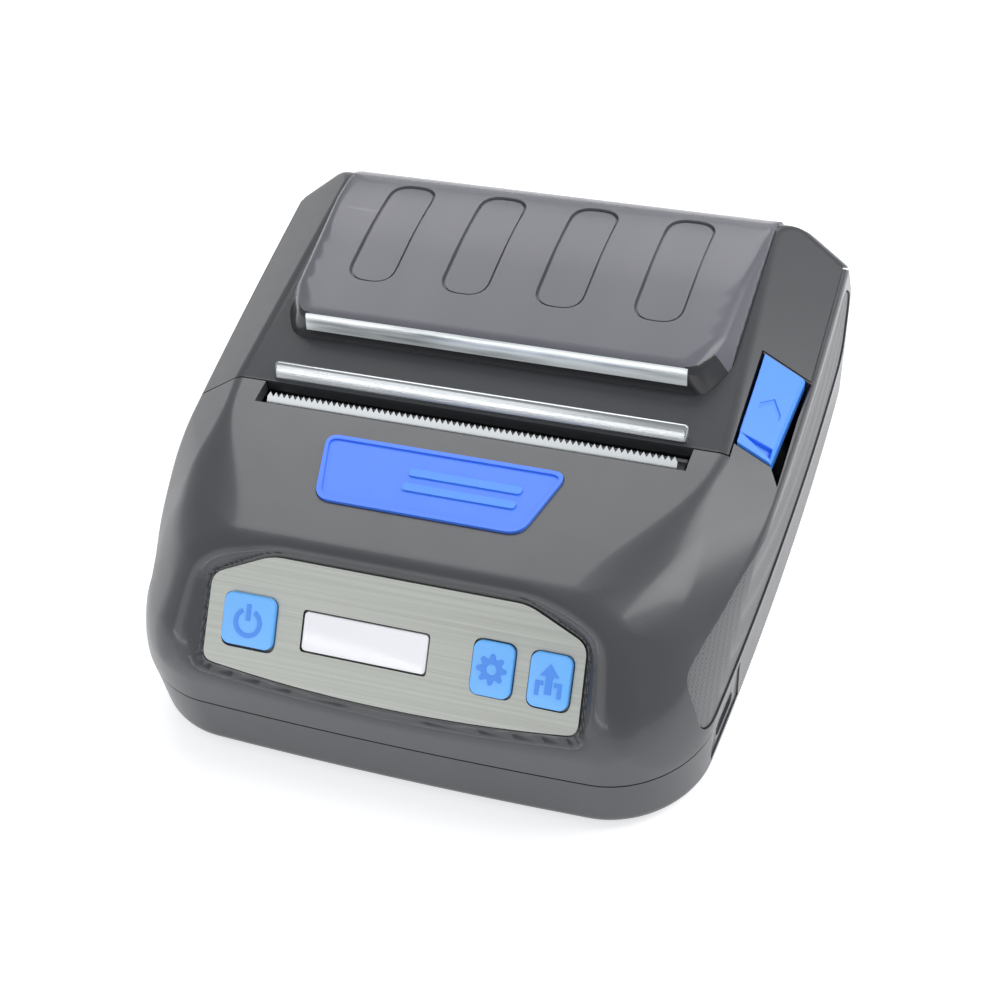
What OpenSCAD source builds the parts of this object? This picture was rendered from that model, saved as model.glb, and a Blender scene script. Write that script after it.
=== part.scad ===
// Mobile receipt printer for 80 mm thermal paper, drawn as the pieces it comes apart into.
// Millimetres. The origin is the centre of the footprint on the table, +Z is up and the front faces -Y.

/* [Body] */
// Width of the paper
paper_w = 80; // [76:1:80]
// Flat top on each side of the paper
top_margin = 9; // [8.5:0.1:10]
// Width of each sloping shoulder
shoulder_w = 10.4; // [10:0.1:11]
// Lean of the side walls, outward going up, in degrees
wall_lean = 4.5; // [3:0.5:5.5]
// How far the top of each front corner is cut back
corner_depth = 20.6; // [20:0.2:21.4]
// Depth from the front wall to the rear wall
body_d = 127; // [125:1:132]
// Height of the joint between the base and the upper shell
seam_z = 12.5; // [12:0.5:13.5]
// Height of the deck where it meets the lid
deck_z = 43.4; // [43:0.2:45]
// Slope of the deck towards the front, in degrees
deck_slope = 1.8; // [1:0.2:3]
// Radius of the front corners seen from above
front_corner_r = 17; // [15:1:19]
// Radius of the rear corners seen from above
rear_corner_r = 10; // [7:1:12]
// Bow of each side wall, from its middle to its front end
side_bow = 1.6; // [1:0.2:2.4]
// Bow of the front wall
front_bow = 1.4; // [0.8:0.2:2]
// Slope of the shoulders, in degrees
shoulder_slope = 34.5; // [32:0.5:37]
// Thickness of the moulded walls
wall = 2.4; // [2.2:0.1:2.8]
// Set-back of the base below the seam
base_inset = 0.5; // [0.2:0.1:0.8]
// Height of the rubber feet
foot_h = 1.2; // [0.8:0.1:2]
// Gap between neighbouring shells
seam_gap = 0.3; // [0.2:0.05:0.4]

/* [Control panel] */
// Angle of the control plate from the horizontal
plate_tilt = 50.4; // [49:0.2:52]
// Height of the plate's lower edge
plate_z = 23.7; // [23.4:0.1:24.4]
// Distance of the plate's lower edge from the front wall
plate_setback = 2.8; // [2.6:0.1:3.2]
// Width of the control plate
plate_w = 72.4; // [70:0.4:74]
// Height of the control plate along its slope
plate_h = 21.1; // [20.6:0.1:21.6]
// Thickness of the control plate
plate_t = 0.8; // [0.5:0.1:1]
// Travel of the keys
key_travel = 0.6; // [0.3:0.1:0.6]
// Height of the keys over the plate
key_proud = 0.9; // [0.5:0.1:1.4]
// Running gap around each key
key_gap = 0.25; // [0.15:0.05:0.35]
// Width of the display lens
display_w = 24; // [22:0.5:25]
// Height of the display lens
display_h = 7.2; // [6:0.2:8]

/* [Lid] */
// Rise of the lid towards the back, in degrees
lid_rise = 10.7; // [10:0.1:11.2]
// Where the lid's front edge lies
lid_front_y = -7; // [-7.4:0.1:-6.6]
// Slope of the lid's back, in degrees
lid_back_slope = 50; // [48:1:52]
// Height of the hinge axis
hinge_z = 34.2; // [33.6:0.2:34.6]
// Radius of the hinge roll along the lid's rear edge
hinge_r = 2.2; // [2:0.1:2.4]
// Radius of the hinge pins
hinge_pin_r = 0.9; // [0.7:0.05:1]
// Half width of the window
window_half_w = 45; // [43:0.5:45.5]
// Height of the window's front edge over the lid
window_rise = 5.5; // [4.5:0.5:5.5]
// Slope of the window's top, in degrees
window_slope = 6.8; // [6.5:0.1:7.2]
// Thickness of the window
window_t = 2.2; // [1.8:0.1:2.4]
// Depth of the four long recesses in the window
recess_depth = 0.6; // [0.3:0.1:0.9]

/* [Paper path] */
// Radius of the roll's tub
tub_r = 21.5; // [19:0.5:22]
// Wall of the tub
tub_wall = 1.5; // [1.2:0.1:1.8]
// Radius of the platen roller
platen_r = 4.5; // [4.2:0.1:4.6]
// Radius of the platen shaft
shaft_r = 1.5; // [1.2:0.1:1.8]
// Running clearance of every pin and shaft
run_gap = 0.05; // [0.03:0.01:0.08]
// Number of teeth along the cutter
cutter_teeth = 70; // [50:2:80]
// Gear module
gear_m = 0.5; // [0.5:0.01:0.52]
// Teeth of the platen gear
platen_teeth = 16; // [16:1:17]
// Teeth of the idler gear
idler_teeth = 26; // [24:1:27]
// Teeth of the motor pinion
pinion_teeth = 12; // [10:1:12]
// Radius of the stepper motor
motor_r = 7.5; // [6.5:0.25:8]

/* [Inside] */
// Length of the battery pack across the printer
battery_w = 72; // [66:1:74]
// Depth of the battery pack
battery_d = 33; // [30:1:34]
// Height of the battery pack
battery_h = 13; // [11:0.5:13.5]
// Thickness of the circuit boards
board_t = 1.4; // [1:0.1:1.6]
// Width of the charging socket
usb_w = 9; // [8:0.2:10]
// Height of the charging socket
usb_h = 3.2; // [2.8:0.1:3.4]

/* [Hidden] */
big = 200;
half_d = body_d / 2;
top_half_w = paper_w / 2 + top_margin;
body_w = 2 * (top_half_w + shoulder_w);
base_z = foot_h + base_inset;      // underside of the base
bow_mid = 10;                      // where the side walls are widest
edge_z = 37;                       // height at which the leaning walls reach the body's width
deck_run = 39.5;                   // deck length ahead of the lid
rim_h = 3;                         // body surface over the control plate
shoulder_rise = 6.7;               // shoulders climb with the lid
shoulder_lip = 0.6;                // upright lip of the lid below each shoulder
facet_steps = 6;                   // flats in a rounded corner

// ---------- lines of the side profile: [y, z, angle]; inward lies to the right of the way they run ----------
function moved(l, i) = [l[0] + i * sin(l[2]), l[1] - i * cos(l[2]), l[2]];
function meet(a, b) =
    let (t = ((b[0] - a[0]) * sin(b[2]) - (b[1] - a[1]) * cos(b[2])) / sin(b[2] - a[2]))
    [a[0] + t * cos(a[2]), a[1] + t * sin(a[2])];
// A line that cuts the corner between a and b, at a share of the turn and a distance in from the corner.
function corner_cut(a, b, share, depth) =
    let (p = meet(a, b), g = a[2] + (b[2] - a[2]) * share) moved([p[0], p[1], g], depth);
function outline(ls, i) =
    [for (k = [0:len(ls) - 1]) meet(moved(ls[k], i), moved(ls[(k + 1) % len(ls)], i))];

plate_y = -half_d + plate_setback;
hinge_y = half_d - hinge_r;
front_line = [-half_d, 0, 90];
panel_line = moved([plate_y, plate_z, plate_tilt], -rim_h);
deck_line = [lid_front_y, deck_z, deck_slope];
lid_line = [lid_front_y, deck_z, lid_rise];
back_line = [hinge_y - 1, hinge_z + 4.2, -lid_back_slope];
rear_line = [half_d, 0, -90];
floor_line = [0, foot_h, 180];
front_profile = [front_line, corner_cut(front_line, panel_line, 0.5, 1.6), panel_line,
    corner_cut(panel_line, deck_line, 0.35, 1.1), corner_cut(panel_line, deck_line, 0.7, 1.1), deck_line,
    [lid_front_y, 0, -90], floor_line];
rear_profile = [[lid_front_y - 0.01, 0, 90], lid_line, corner_cut(lid_line, back_line, 0.3, 1.1),
    corner_cut(lid_line, back_line, 0.7, 1.1), back_line, rear_line, floor_line];

function arc_points(x, y, r, from, to) =
    [for (k = [0:facet_steps]) let (a = from + (to - from) * k / facet_steps) [x + r * cos(a), y + r * sin(a)]];
function half_w(y) = body_w / 2 - side_bow * pow((y - bow_mid) / (half_d - front_corner_r + bow_mid), 2);
function lean_at(z) = (z - edge_z) * tan(wall_lean);
// Right half of the outline seen from above, moved in by i and out by dx.
function plan_half(i, dx) = concat(
    [[body_w / 5 + dx, -half_d + i]],
    arc_points(half_w(-half_d + front_corner_r) - front_corner_r + dx, -half_d + front_bow + front_corner_r,
        front_corner_r - i, -90, 0),
    [for (k = [1:5]) let (y = -half_d + front_corner_r + (body_d - front_corner_r - rear_corner_r) * k / 6)
        [half_w(y) - i + dx, y]],
    arc_points(half_w(half_d - rear_corner_r) - rear_corner_r + dx, half_d - rear_corner_r, rear_corner_r - i, 0, 90));
function ring(i, z) = let (half = plan_half(i, lean_at(z)), n = len(half))
    concat([for (p = half) [p[0], p[1], z]], [for (k = [n - 1:-1:0]) [-half[k][0], half[k][1], z]]);
// Leaning walls of the body, moved in by i.
module walls(i) {
    low = ring(i, 0);
    n = len(low);
    polyhedron(concat(low, ring(i, 80)), concat([[for (k = [0:n - 1]) k]], [[for (k = [n - 1:-1:0]) n + k]],
        [for (k = [0:n - 1]) [k, k + n, (k + 1) % n + n, (k + 1) % n]]));
}
// Flat that cuts the top of a front corner, moved in by i.
module corner_flat(turn, rise, i) {
    translate([body_w / 2, -half_d, deck_z]) rotate([0, -rise, turn - 90])
        translate([-corner_depth - i, -big, -big]) cube([big, 2 * big, 2 * big]);
}
module side_prism(x0, x1, points) {
    translate([x0, 0, 0]) rotate([90, 0, 90]) linear_extrude(x1 - x0) polygon(points);
}
module both() { for (s = [0, 1]) mirror([s, 0, 0]) children(); }
// Frame of the right shoulder: local Z is its outward normal and local X runs down it.
module on_shoulder() {
    translate([top_half_w, lid_front_y, deck_z]) rotate([shoulder_rise, shoulder_slope, 0]) children();
}
// Frame of the control plate: local X across, local Y up the slope from the lower edge, local Z outward.
module on_plate() { translate([0, plate_y, plate_z]) rotate([plate_tilt, 0, 0]) children(); }
module slab(x, y, z0, z1) { translate([-x / 2, 0, z0]) cube([x, y, z1 - z0]); }
module box(a, b) { translate(a) cube(b - a); }

// The printer's outside without its window, moved in by i.
module outer_form(i) {
    difference() {
        intersection() {
            walls(i);
            union() {
                side_prism(-big, big, outline(front_profile, i));
                side_prism(-big, big, outline(rear_profile, i));
                box([-big, -half_d + 12, foot_h + i], [big, half_d - 12, deck_z - i - 3]);
                box([-big, lid_front_y - 8, foot_h + i], [big, lid_front_y + 8, deck_z - i * 1.01 - 0.3]);
            }
        }
        both() {
            on_shoulder() translate([-big, -big, -i]) cube([2 * big, 2 * big, big]);
            corner_flat(65, 30, i);
            corner_flat(40, 45, i);
        }
    }
}

// ---------- the line between the lid and the upper shell ----------
flange_front_z = deck_z - 6.2 - shoulder_lip;
lid_edge_x = top_half_w + 0.4;     // lid's side beside the button, which tips past it
flange_back = [half_d - 16.5, lid_top_z(half_d - 16.5) - 8.8];
button_rear_y = lid_front_y + 25;
module lid_zone(g) {
    difference() {
        lid_side(g);
        box([lid_edge_x + g, -big, -big], [big, button_rear_y - g, big]);
    }
}
module lid_side(g) {
    side_prism(-big, big, [[lid_front_y - g, 90], [lid_front_y - g, flange_front_z - g],
        [flange_back[0] - g, flange_back[1] - g], [hinge_y - 3 - g, hinge_z + 0.4 - g], [half_d + 9, hinge_z + 0.4 - g],
        [half_d + 9, 90]]);
}
module hinge_rod(r, x0, x1) { translate([x0, hinge_y, hinge_z]) rotate([0, 90, 0]) cylinder(r = r, h = x1 - x0, $fn = 48); }
ear_x = 34;
ear_w = 8;
hinge_relief = hinge_r * sqrt(2) + 0.25;

// ---------- base ----------
boss_x = top_half_w - 1;
boss_front_y = -half_d + 33.5;
boss_rear_y = half_d - 13.5;
boss_r = 3.2;
screw_r = 1.2;
module at_bosses() { for (y = [boss_front_y, boss_rear_y]) both() translate([boss_x, y, 0]) children(); }
door_w = battery_w + 4;
door_y0 = -half_d + 5.5;
door_y1 = door_y0 + battery_d + 7;
door_gap = 0.2;
door_screw_x = door_w / 2 - 4;
usb_y = -half_d + 25.5;
usb_z = 8.2;
usb_half_y = 8;
usb_z0 = 4.4;
floor_z = base_z + wall;
usb_x = half_w(usb_y) + lean_at(usb_z);             // outside of the wall at the port
module base_shell() {
    color([0.22, 0.22, 0.24]) {
        difference() {
            intersection() {
                outer_form(base_inset);
                box([-big, -big, 0], [big, big, seam_z]);
            }
            translate([0, 0, -0.01]) intersection() {
                outer_form(base_inset + wall);
                box([-big, -big, floor_z], [big, big, seam_z + 1]);
            }
            box([-door_w / 2 - door_gap, door_y0 - door_gap, 0], [door_w / 2 + door_gap, door_y1 + door_gap, floor_z + 1]);
            box([usb_x - 6.4, usb_y - usb_half_y, usb_z0], [big, usb_y + usb_half_y, seam_z + 1]);
            at_bosses() cylinder(r = screw_r + 0.1, h = 10, $fn = 24);
            at_bosses() cylinder(r = 2.4, h = base_z + 1.2, $fn = 24);
        }
        at_bosses() difference() {
            translate([0, 0, floor_z - 0.1]) cylinder(r = boss_r, h = seam_z - floor_z, $fn = 32);
            cylinder(r = screw_r + 0.1, h = 30, $fn = 24);
        }
        for (x = [-board_half_w + 1, board_half_w - 5], y = [-16, 4])
            box([x, y, floor_z - 0.1], [x + 4, y + 3, board_z]);
        box([usb_x - 10.4, usb_y - 7, floor_z - 0.1], [usb_x - 6.6, usb_y + 3, board_z]);
        both() difference() {
            box([door_screw_x - 3, door_y1 - 4.8, floor_z - 0.1], [door_screw_x + 3, door_y1 + 0.8, board_z - 0.1]);
            translate([door_screw_x, door_y1 - 3, 0]) cylinder(r = screw_r + 0.02, h = 9, $fn = 24);
        }
        at_frame_screws() difference() {
            translate([0, 0, floor_z - 0.1]) cylinder(r = 2.4, h = frame_low_z - floor_z + 0.1, $fn = 32);
            cylinder(r = screw_r - 0.08, h = 60, $fn = 24);
        }
    }
}
module battery_door() {
    color([0.2, 0.2, 0.22]) difference() {
        union() {
            box([-door_w / 2, door_y0, base_z], [door_w / 2, door_y1, floor_z - 0.6]);
            both() box([door_screw_x - 3, door_y1 - 4.8, base_z], [door_screw_x + 3, door_y1, floor_z - 0.1]);
        }
        for (x = [-24:4:24]) box([x - 0.6, door_y0 + 6, 0], [x + 0.6, door_y0 + 10, base_z + 0.5]);
        both() translate([door_screw_x, door_y1 - 3, 0]) {
            cylinder(r = screw_r + 0.1, h = 10, $fn = 24);
            cylinder(r = 2.2, h = base_z + 0.9, $fn = 24);
        }
    }
}
// Screw with its head down, head from z0, shank up to z1.
module screw_up(z0, z1, head_r, head_h) {
    difference() {
        union() {
            translate([0, 0, z0]) cylinder(r = head_r, h = head_h, $fn = 32);
            translate([0, 0, z0 + head_h - 0.01]) cylinder(r = screw_r, h = z1 - z0 - head_h, $fn = 24);
        }
        for (a = [0, 90]) rotate([0, 0, a]) box([-head_r * 0.6, -0.25, z0 - 1], [head_r * 0.6, 0.25, z0 + head_h / 2]);
    }
}
module base_screws() { color("silver") at_bosses() screw_up(base_z + 0.2, seam_z + 6, 2.2, 1); }
module door_screws() {
    color("silver") both() translate([door_screw_x, door_y1 - 3, 0]) screw_up(base_z + 0.1, board_z - 0.4, 2, 0.8);
}
foot_x = 36;
module rubber_feet() {
    color([0.06, 0.06, 0.06]) for (y = [-half_d + 3.5, half_d - 12]) both()
        box([foot_x - 7, y - (y < 0 ? 0 : 3), 0], [foot_x + 7, y + 2, base_z]);
}

// ---------- upper shell ----------
pocket_wide = 4;
floor_t = 1.8;                     // moulded floor under the plate
bow_v = 2.2;                       // bow of the plate's lower edge
apex_u = plate_w / 2 - 11.7;
shoulder_v = plate_h - 5;
// Outline of the control plate in its own plane, grown by g, with its lower edge down to v0.
function plate_outline(g) = concat(
    [for (k = [-4:4]) let (u = k / 4 * (plate_w / 2 + g)) [u, -bow_v * (1 - pow(k / 4, 2)) - g]],
    [[plate_w / 2 + g - 0.3, shoulder_v + g / 2], [apex_u + g / 2, plate_h + g], [-apex_u - g / 2, plate_h + g],
        [-plate_w / 2 - g + 0.3, shoulder_v + g / 2]]);
module plate_prism(g, z0, z1) { on_plate() translate([0, 0, z0]) linear_extrude(z1 - z0) polygon(plate_outline(g)); }
power_at = [-27.5, 8.75];
settings_at = [19.6, 8.75];
feed_at = [30.2, 8.75];
display_at = [-4.9, 8.8];
square_key = [10.2, 9.6];
tall_key = [7.5, 9.7];
display_hole = [display_w, display_h];
key_r = 1.6;
// Rounded rectangle made of squares and circles, so that it stays exact.
module pill(size, r, z0, z1) {
    translate([0, 0, z0]) linear_extrude(z1 - z0) {
        square([size[0], size[1] - 2 * r], center = true);
        square([size[0] - 2 * r, size[1]], center = true);
        for (x = [-1, 1], y = [-1, 1]) translate([x * (size[0] / 2 - r), y * (size[1] / 2 - r)]) circle(r, $fn = 24);
    }
}
module key_places(g, z0, z1) {
    on_plate() {
        translate(power_at) pill(square_key + [2 * g, 2 * g], key_r, z0, z1);
        for (at = [settings_at, feed_at]) translate(at) pill(tall_key + [2 * g, 2 * g], key_r, z0, z1);
        translate(display_at) pill(display_hole + [2 * g, 2 * g], 0.8, z0, z1);
    }
}
slot_front_y = lid_front_y - 5.8;
slot_half_w = paper_w / 2 + 3;
badge_w = 48;
badge_low_w = 40;
badge_h = 16;
badge_y = lid_front_y - 11.3;
badge_x = -1.2;
badge_t = 0.9;
module badge_prism(g, z0, z1) {
    translate([badge_x, badge_y, deck_z - (lid_front_y - badge_y) * tan(deck_slope)]) rotate([deck_slope, 0, 0])
        translate([0, 0, z0]) linear_extrude(z1 - z0)
            polygon([[-badge_w / 2 + 2.5, g], [-badge_w / 2 + 0.8 - g, -0.7], [-badge_w / 2 - g, -2.6],
                [-badge_low_w / 2 - g, -badge_h + 2.4], [-badge_low_w / 2 + 2.4, -badge_h - g],
                [badge_low_w / 2 - 2.4, -badge_h - g], [badge_low_w / 2 + g, -badge_h + 2.4],
                [badge_w / 2 + g, -2.6], [badge_w / 2 - 0.8 + g, -0.7], [badge_w / 2 - 2.5, g]]);
}
grip_skin = 0.9;
grip_sink = 0.4;
grip_front_y = -half_d + 13.5;
function grip_outline(g) = [[grip_front_y - g, seam_z + 6], [grip_front_y + 3 - g, seam_z + 3 - g],
    [half_d - 9.5 + g, seam_z + 3 - g], [half_d - 8 + g, seam_z + 6], [half_d - 8 + g, 31],
    [half_d - 18.5 + g, flange_back[1] - 4 + g], [lid_front_y, flange_front_z - 2.4 + g],
    [grip_front_y + 24, flange_front_z - 3 + g], [grip_front_y + 10, 30.5 + g],
    [grip_front_y + 2 - g, 28 + g]];
module grip_skin_form(g, i0, i1) {
    intersection() {
        difference() {
            outer_form(i0);
            outer_form(i1);
        }
        side_prism(44, big, grip_outline(g));
    }
}
button_y0 = 3;
button_l = 21;
button_w = 11.4;
button_gap = 0.35;
finger_h = 2.6;
module button_space(g, z0) {
    on_shoulder() box([-9, button_y0 - g, z0], [button_w + 6, button_y0 + button_l + g, 9]);
}
pin_u = 3;                         // button hinge, down the shoulder and below its face
pin_w = -1.1;
button_pin_r = 0.6;
module button_rod(r, y0, y1) {
    on_shoulder() translate([pin_u, y0, pin_w]) rotate([-90, 0, 0]) cylinder(r = r, h = y1 - y0, $fn = 32);
}
module shell_skin() {
    difference() {
        intersection() {
            outer_form(0);
            box([-big, -big, seam_z + seam_gap / 2], [big, big, big]);
        }
        outer_form(wall);
        box([-big, -half_d + 12, 0], [big, half_d - 2 * wall, seam_z + 8.01]);
    }
}
module upper_shell() {
    color([0.2, 0.2, 0.22]) difference() {
        union() {
            difference() {
                intersection() {
                    outer_form(0);
                    box([-big, -big, seam_z + seam_gap / 2], [big, big, big]);
                }
                outer_form(wall);
                intersection() {
                    walls(wall);
                    box([-big, -big, seam_z - 4], [big, big, seam_z + 4]);
                }
            }
            intersection() {
                plate_prism(8, -plate_t - floor_t, 0.5);
                outer_form(0.4);
            }
            // walls of the slot and the bracket of the button
            intersection() {
                outer_form(0.4);
                union() {
                    both() box([slot_half_w, slot_front_y - 1.2, deck_z - 8],
                        [slot_half_w + 1.4, lid_front_y - seam_gap, big]);
                    box([-slot_half_w - 1, slot_front_y - 1.2, deck_z - 5.6], [slot_half_w + 1, slot_front_y, big]);
                }
            }
            intersection() {
                at_bosses() translate([0, 0, seam_z + seam_gap / 2]) {
                    cylinder(r = boss_r, h = 8, $fn = 32);
                    box([0, -0.9, 0], [9, 0.9, 8]);
                }
                outer_form(0.6);
            }
            intersection() {
                hinge_web();
                walls(0);
            }
            // seat of the release button
            intersection() {
                outer_form(0.4);
                on_shoulder() box([0, button_y0 - 3.4, -6.2], [10, button_y0 + button_l + 1.2, 4]);
                box([lid_edge_x + seam_gap, -big, 0], [big, button_rear_y - seam_gap, big]);
            }
        }
        difference() {
            lid_zone(seam_gap);
            both() box([ear_x, half_d - 12, 0], [ear_x + ear_w, half_d + 9, 90]);
        }
        // hinge groove, left out at the two ears
        difference() {
            hinge_rod(hinge_relief, -big, big);
            both() box([ear_x, half_d - 12, 0], [ear_x + ear_w, half_d + 9, 90]);
        }
        difference() {
            both() box([ear_x, half_d - 12, hinge_z], [ear_x + ear_w, half_d + 9, 90]);
            hinge_rod(hinge_r, -big, big);
        }
        hinge_rod(hinge_pin_r + run_gap, -big, big);
        plate_pocket();
        key_places(key_gap, -9, 5);
        box([-slot_half_w, slot_front_y, deck_z - 9], [slot_half_w, lid_front_y + 1, big]);
        badge_prism(0.15, -badge_t, 5);
        both() grip_skin_form(0.15, -1, grip_sink + grip_skin);
        button_space(button_gap, -5.2);
        box([top_half_w + 5.4, lid_front_y - 1, deck_z - 6.5 - finger_h], [big, lid_front_y + 20, deck_z - 5.5]);
        blade_form(0.04, 0);
        button_rod(button_pin_r + run_gap, button_y0 - 2.6, button_y0 + button_l + 1.1);
        box([usb_x - 7.4, usb_y - usb_half_y, 0], [big, usb_y + usb_half_y, seam_z + 1.2]);
        at_bosses() cylinder(r = screw_r + 0.05, h = seam_z + 6.5, $fn = 24);
    }
    color([0.2, 0.2, 0.22]) difference() {
        side_prism(-cutter_l / 2, cutter_l / 2, [[slot_front_y - 0.1, deck_z - 4.6], [slot_front_y + 1.4, deck_z - 3.6],
            [slot_front_y + 1.4, deck_z - 1.2], [slot_front_y - 0.1, deck_z - 2.9]]);
        blade_form(0.04, 0);
    }
}
// Sloping pocket that the control plate lies in, wider at the surface than at its floor.
module plate_pocket() {
    plate_prism(0.15, -plate_t, 0.01);
    for (k = [0:3]) plate_prism(0.6 + k * 0.85, k * 0.8, k * 0.8 + 12);
}
module hinge_web() {
    both() {
        hinge_rod(hinge_r, ear_x, ear_x + ear_w);
        box([ear_x, hinge_y - hinge_r, hinge_z - 8], [ear_x + ear_w, hinge_y + hinge_r, hinge_z]);
    }
}
module badge() { color([0.38, 0.6, 1]) badge_prism(0, -badge_t, 0.25); }
module grip_right() { color([0.34, 0.35, 0.36]) grip_skin_form(0, grip_sink, grip_sink + grip_skin); }
module grip_left() { mirror([1, 0, 0]) grip_right(); }

// ---------- control panel ----------
module control_plate() {
    color([0.63, 0.65, 0.63]) difference() {
        plate_prism(0, -plate_t, 0);
        key_places(key_gap, -9, 5);
    }
}
lens_t = 1.2;
module display_lens() { color([0.94, 0.94, 0.96]) on_plate() translate(display_at) pill(display_hole, 0.8, -lens_t, 0.1); }
under = -plate_t - floor_t;        // underside of the moulded floor
flange_t = 0.8;
flange_gap = 0.1;
board_w = -6.6;                    // top of the key board, in the plate's frame
module key(at, size) {
    color([0.36, 0.66, 1]) on_plate() translate(at) {
        pill(size, key_r, under - flange_gap - 0.01, key_proud);
        pill(size + [2, 2], key_r, under - flange_gap - flange_t, under - flange_gap);
        translate([0, 0, under - flange_gap - flange_t - 0.6]) cylinder(r = 1.5, h = 1, $fn = 24);
    }
}
module power_key() { key(power_at, square_key); }
module settings_key() { key(settings_at, tall_key); }
module feed_key() { key(feed_at, tall_key); }
switch_h = -(board_w - (under - flange_gap - flange_t - 0.6)) - key_travel - 0.1;
module key_switches() {
    color([0.15, 0.15, 0.16]) on_plate() for (at = [power_at, settings_at, feed_at]) translate(at) {
        translate([-2.6, -2.6, board_w]) cube([5.2, 5.2, switch_h * 0.6]);
        translate([0, 0, board_w + switch_h * 0.6 - 0.01]) cylinder(r = 1.2, h = switch_h * 0.4, $fn = 24);
    }
}
module display_module() {
    color([0.8, 0.82, 0.8]) on_plate() translate(display_at) {
        pill(display_hole - [0.6, 0.6], 0.6, board_w, -lens_t);
    }
}
module key_board() {
    color([0.05, 0.3, 0.16]) on_plate() difference() {
        translate([-plate_w / 2 + 1.5, 1.5, board_w - board_t]) cube([plate_w - 3, 15, board_t]);
        both() translate([12.2, 14.6, board_w - 5]) cylinder(r = 1, h = 9, $fn = 24);
    }
    color([0.2, 0.2, 0.22]) on_plate() both() translate([12.2, 14.6, board_w - board_t])
        cylinder(r = 0.95, h = under - board_w + board_t, $fn = 24);
}

// ---------- lid ----------
win_y0 = lid_front_y + 11.2;
win_line = [win_y0 + 1.2, lid_top_z(win_y0) + window_rise, window_slope];
win_back = moved(back_line, -1);
win_front = [win_y0, lid_top_z(win_y0) + 2, 77.6];
win_sill = [win_y0, 0, 90];
function lid_top_z(y) = deck_z + (y - lid_front_y) * tan(lid_rise);
win_end_z = hinge_z + 6.5;
win_profile = [win_sill, win_front, win_line, corner_cut(win_line, win_back, 0.3, 1.1),
    corner_cut(win_line, win_back, 0.7, 1.1), win_back, [win_y0, win_end_z, 180]];
side_lean = 30;
corner_run = 7.4;
module window_form(i) {
    difference() {
        side_prism(-window_half_w + i, window_half_w - i, outline(win_profile, i));
        both() translate([window_half_w - i, 0, deck_z + 4]) rotate([lid_rise, -side_lean, 0])
            translate([0, -big, -big / 4]) cube([big, 2 * big, big]);
        both() translate([window_half_w - corner_run * 0.75 - i, win_y0 + i, 0]) rotate([0, 0, 50])
            translate([0, -big, 0]) cube([big, big, big]);
    }
}
recess_x = [-28.8, -9.6, 9.6, 28.8];
recess_w = 9.2;
module lid_window() {
    color([0.35, 0.35, 0.4], 0.7) difference() {
        window_form(0);
        window_form(window_t);
        side_prism(-big, big, outline(rear_profile, window_ledge));
        translate([0, win_line[0], win_line[1]]) rotate([window_slope, 0, 0]) for (x = recess_x)
            translate([x, 23.8, 0]) pill([recess_w, 24.2], 3.5, -recess_depth, 5);
    }
}
window_ledge = 1.2;                // depth that the window sinks into the lid's top
lid_inner_w = paper_w / 2 + 1.5;
module lid_shell() {
    color([0.24, 0.24, 0.26]) difference() {
        union() {
            difference() {
                intersection() {
                    outer_form(0);
                    lid_zone(0);
                }
                outer_form(wall);
            }
            intersection() {
                walls(0);
                hinge_rod(hinge_r, -big, big);
            }
            // rib behind the tear bar
            intersection() {
                outer_form(0.4);
                box([-lid_inner_w, lid_front_y, deck_z - 2.6], [lid_inner_w, lid_front_y + 1.8, big]);
            }
        }
        // the window's opening with a ledge around it
        intersection() {
            window_form(-0.15);
            difference() {
                box([-big, -big, 0], [big, big, big]);
                side_prism(-big, big, outline(rear_profile, window_ledge));
            }
        }
        intersection() {
            window_form(window_t + 0.4);
            box([-big, win_y0 + 3, win_end_z + 2], [big, big, big]);
        }
        // room for the ears, the pins and the button
        both() hinge_rod(hinge_r + 0.35, ear_x - 6.6, ear_x + ear_w + 0.3);
        both() box([ear_x - 6.6, hinge_y - 8, hinge_z - 9], [ear_x + ear_w + 0.3, half_d + 1, hinge_z]);
        hinge_rod(hinge_pin_r + run_gap, -big, big);
        bar_form(0.01);
    }
}
bar_t = 1.8;
bar_h = 3.8;
module bar_form(g) {
    translate([0, lid_front_y + 0.2, lid_top_z(lid_front_y + 0.2)]) rotate([-28, 0, 0])
        box([-paper_w / 2 - 1.5 - g, -g, -g], [paper_w / 2 + 1.5 + g, bar_t + g, bar_h]);
}
module tear_bar() { color([0.86, 0.87, 0.88]) bar_form(0); }
module hinge_pins() { color("silver") both() hinge_rod(hinge_pin_r, ear_x - 10, ear_x + ear_w + 4); }

// ---------- cutter ----------
cutter_t = 0.5;
cutter_l = paper_w + 2;
cutter_h = 3.2;
module blade_frame() { translate([0, slot_front_y + 0.7, deck_z - 2.2]) rotate([50, 0, 0]) children(); }
blade_root = -0.9;
module blade_form(g, up) {
    blade_frame() box([-cutter_l / 2 - g, blade_root - g, -g], [cutter_l / 2 + g, cutter_h + up, cutter_t + g]);
}
module cutter_blade() {
    pitch = cutter_l / cutter_teeth;
    color([0.75, 0.75, 0.75]) blade_frame() linear_extrude(cutter_t)
        polygon(concat([[cutter_l / 2, blade_root], [-cutter_l / 2, blade_root]],
            [for (k = [0:cutter_teeth - 1], e = [0, 1]) [-cutter_l / 2 + (k + e / 2) * pitch,
                cutter_h + (e == 0 ? -0.9 : 0)]], [[cutter_l / 2, cutter_h - 0.9]]));
}

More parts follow.
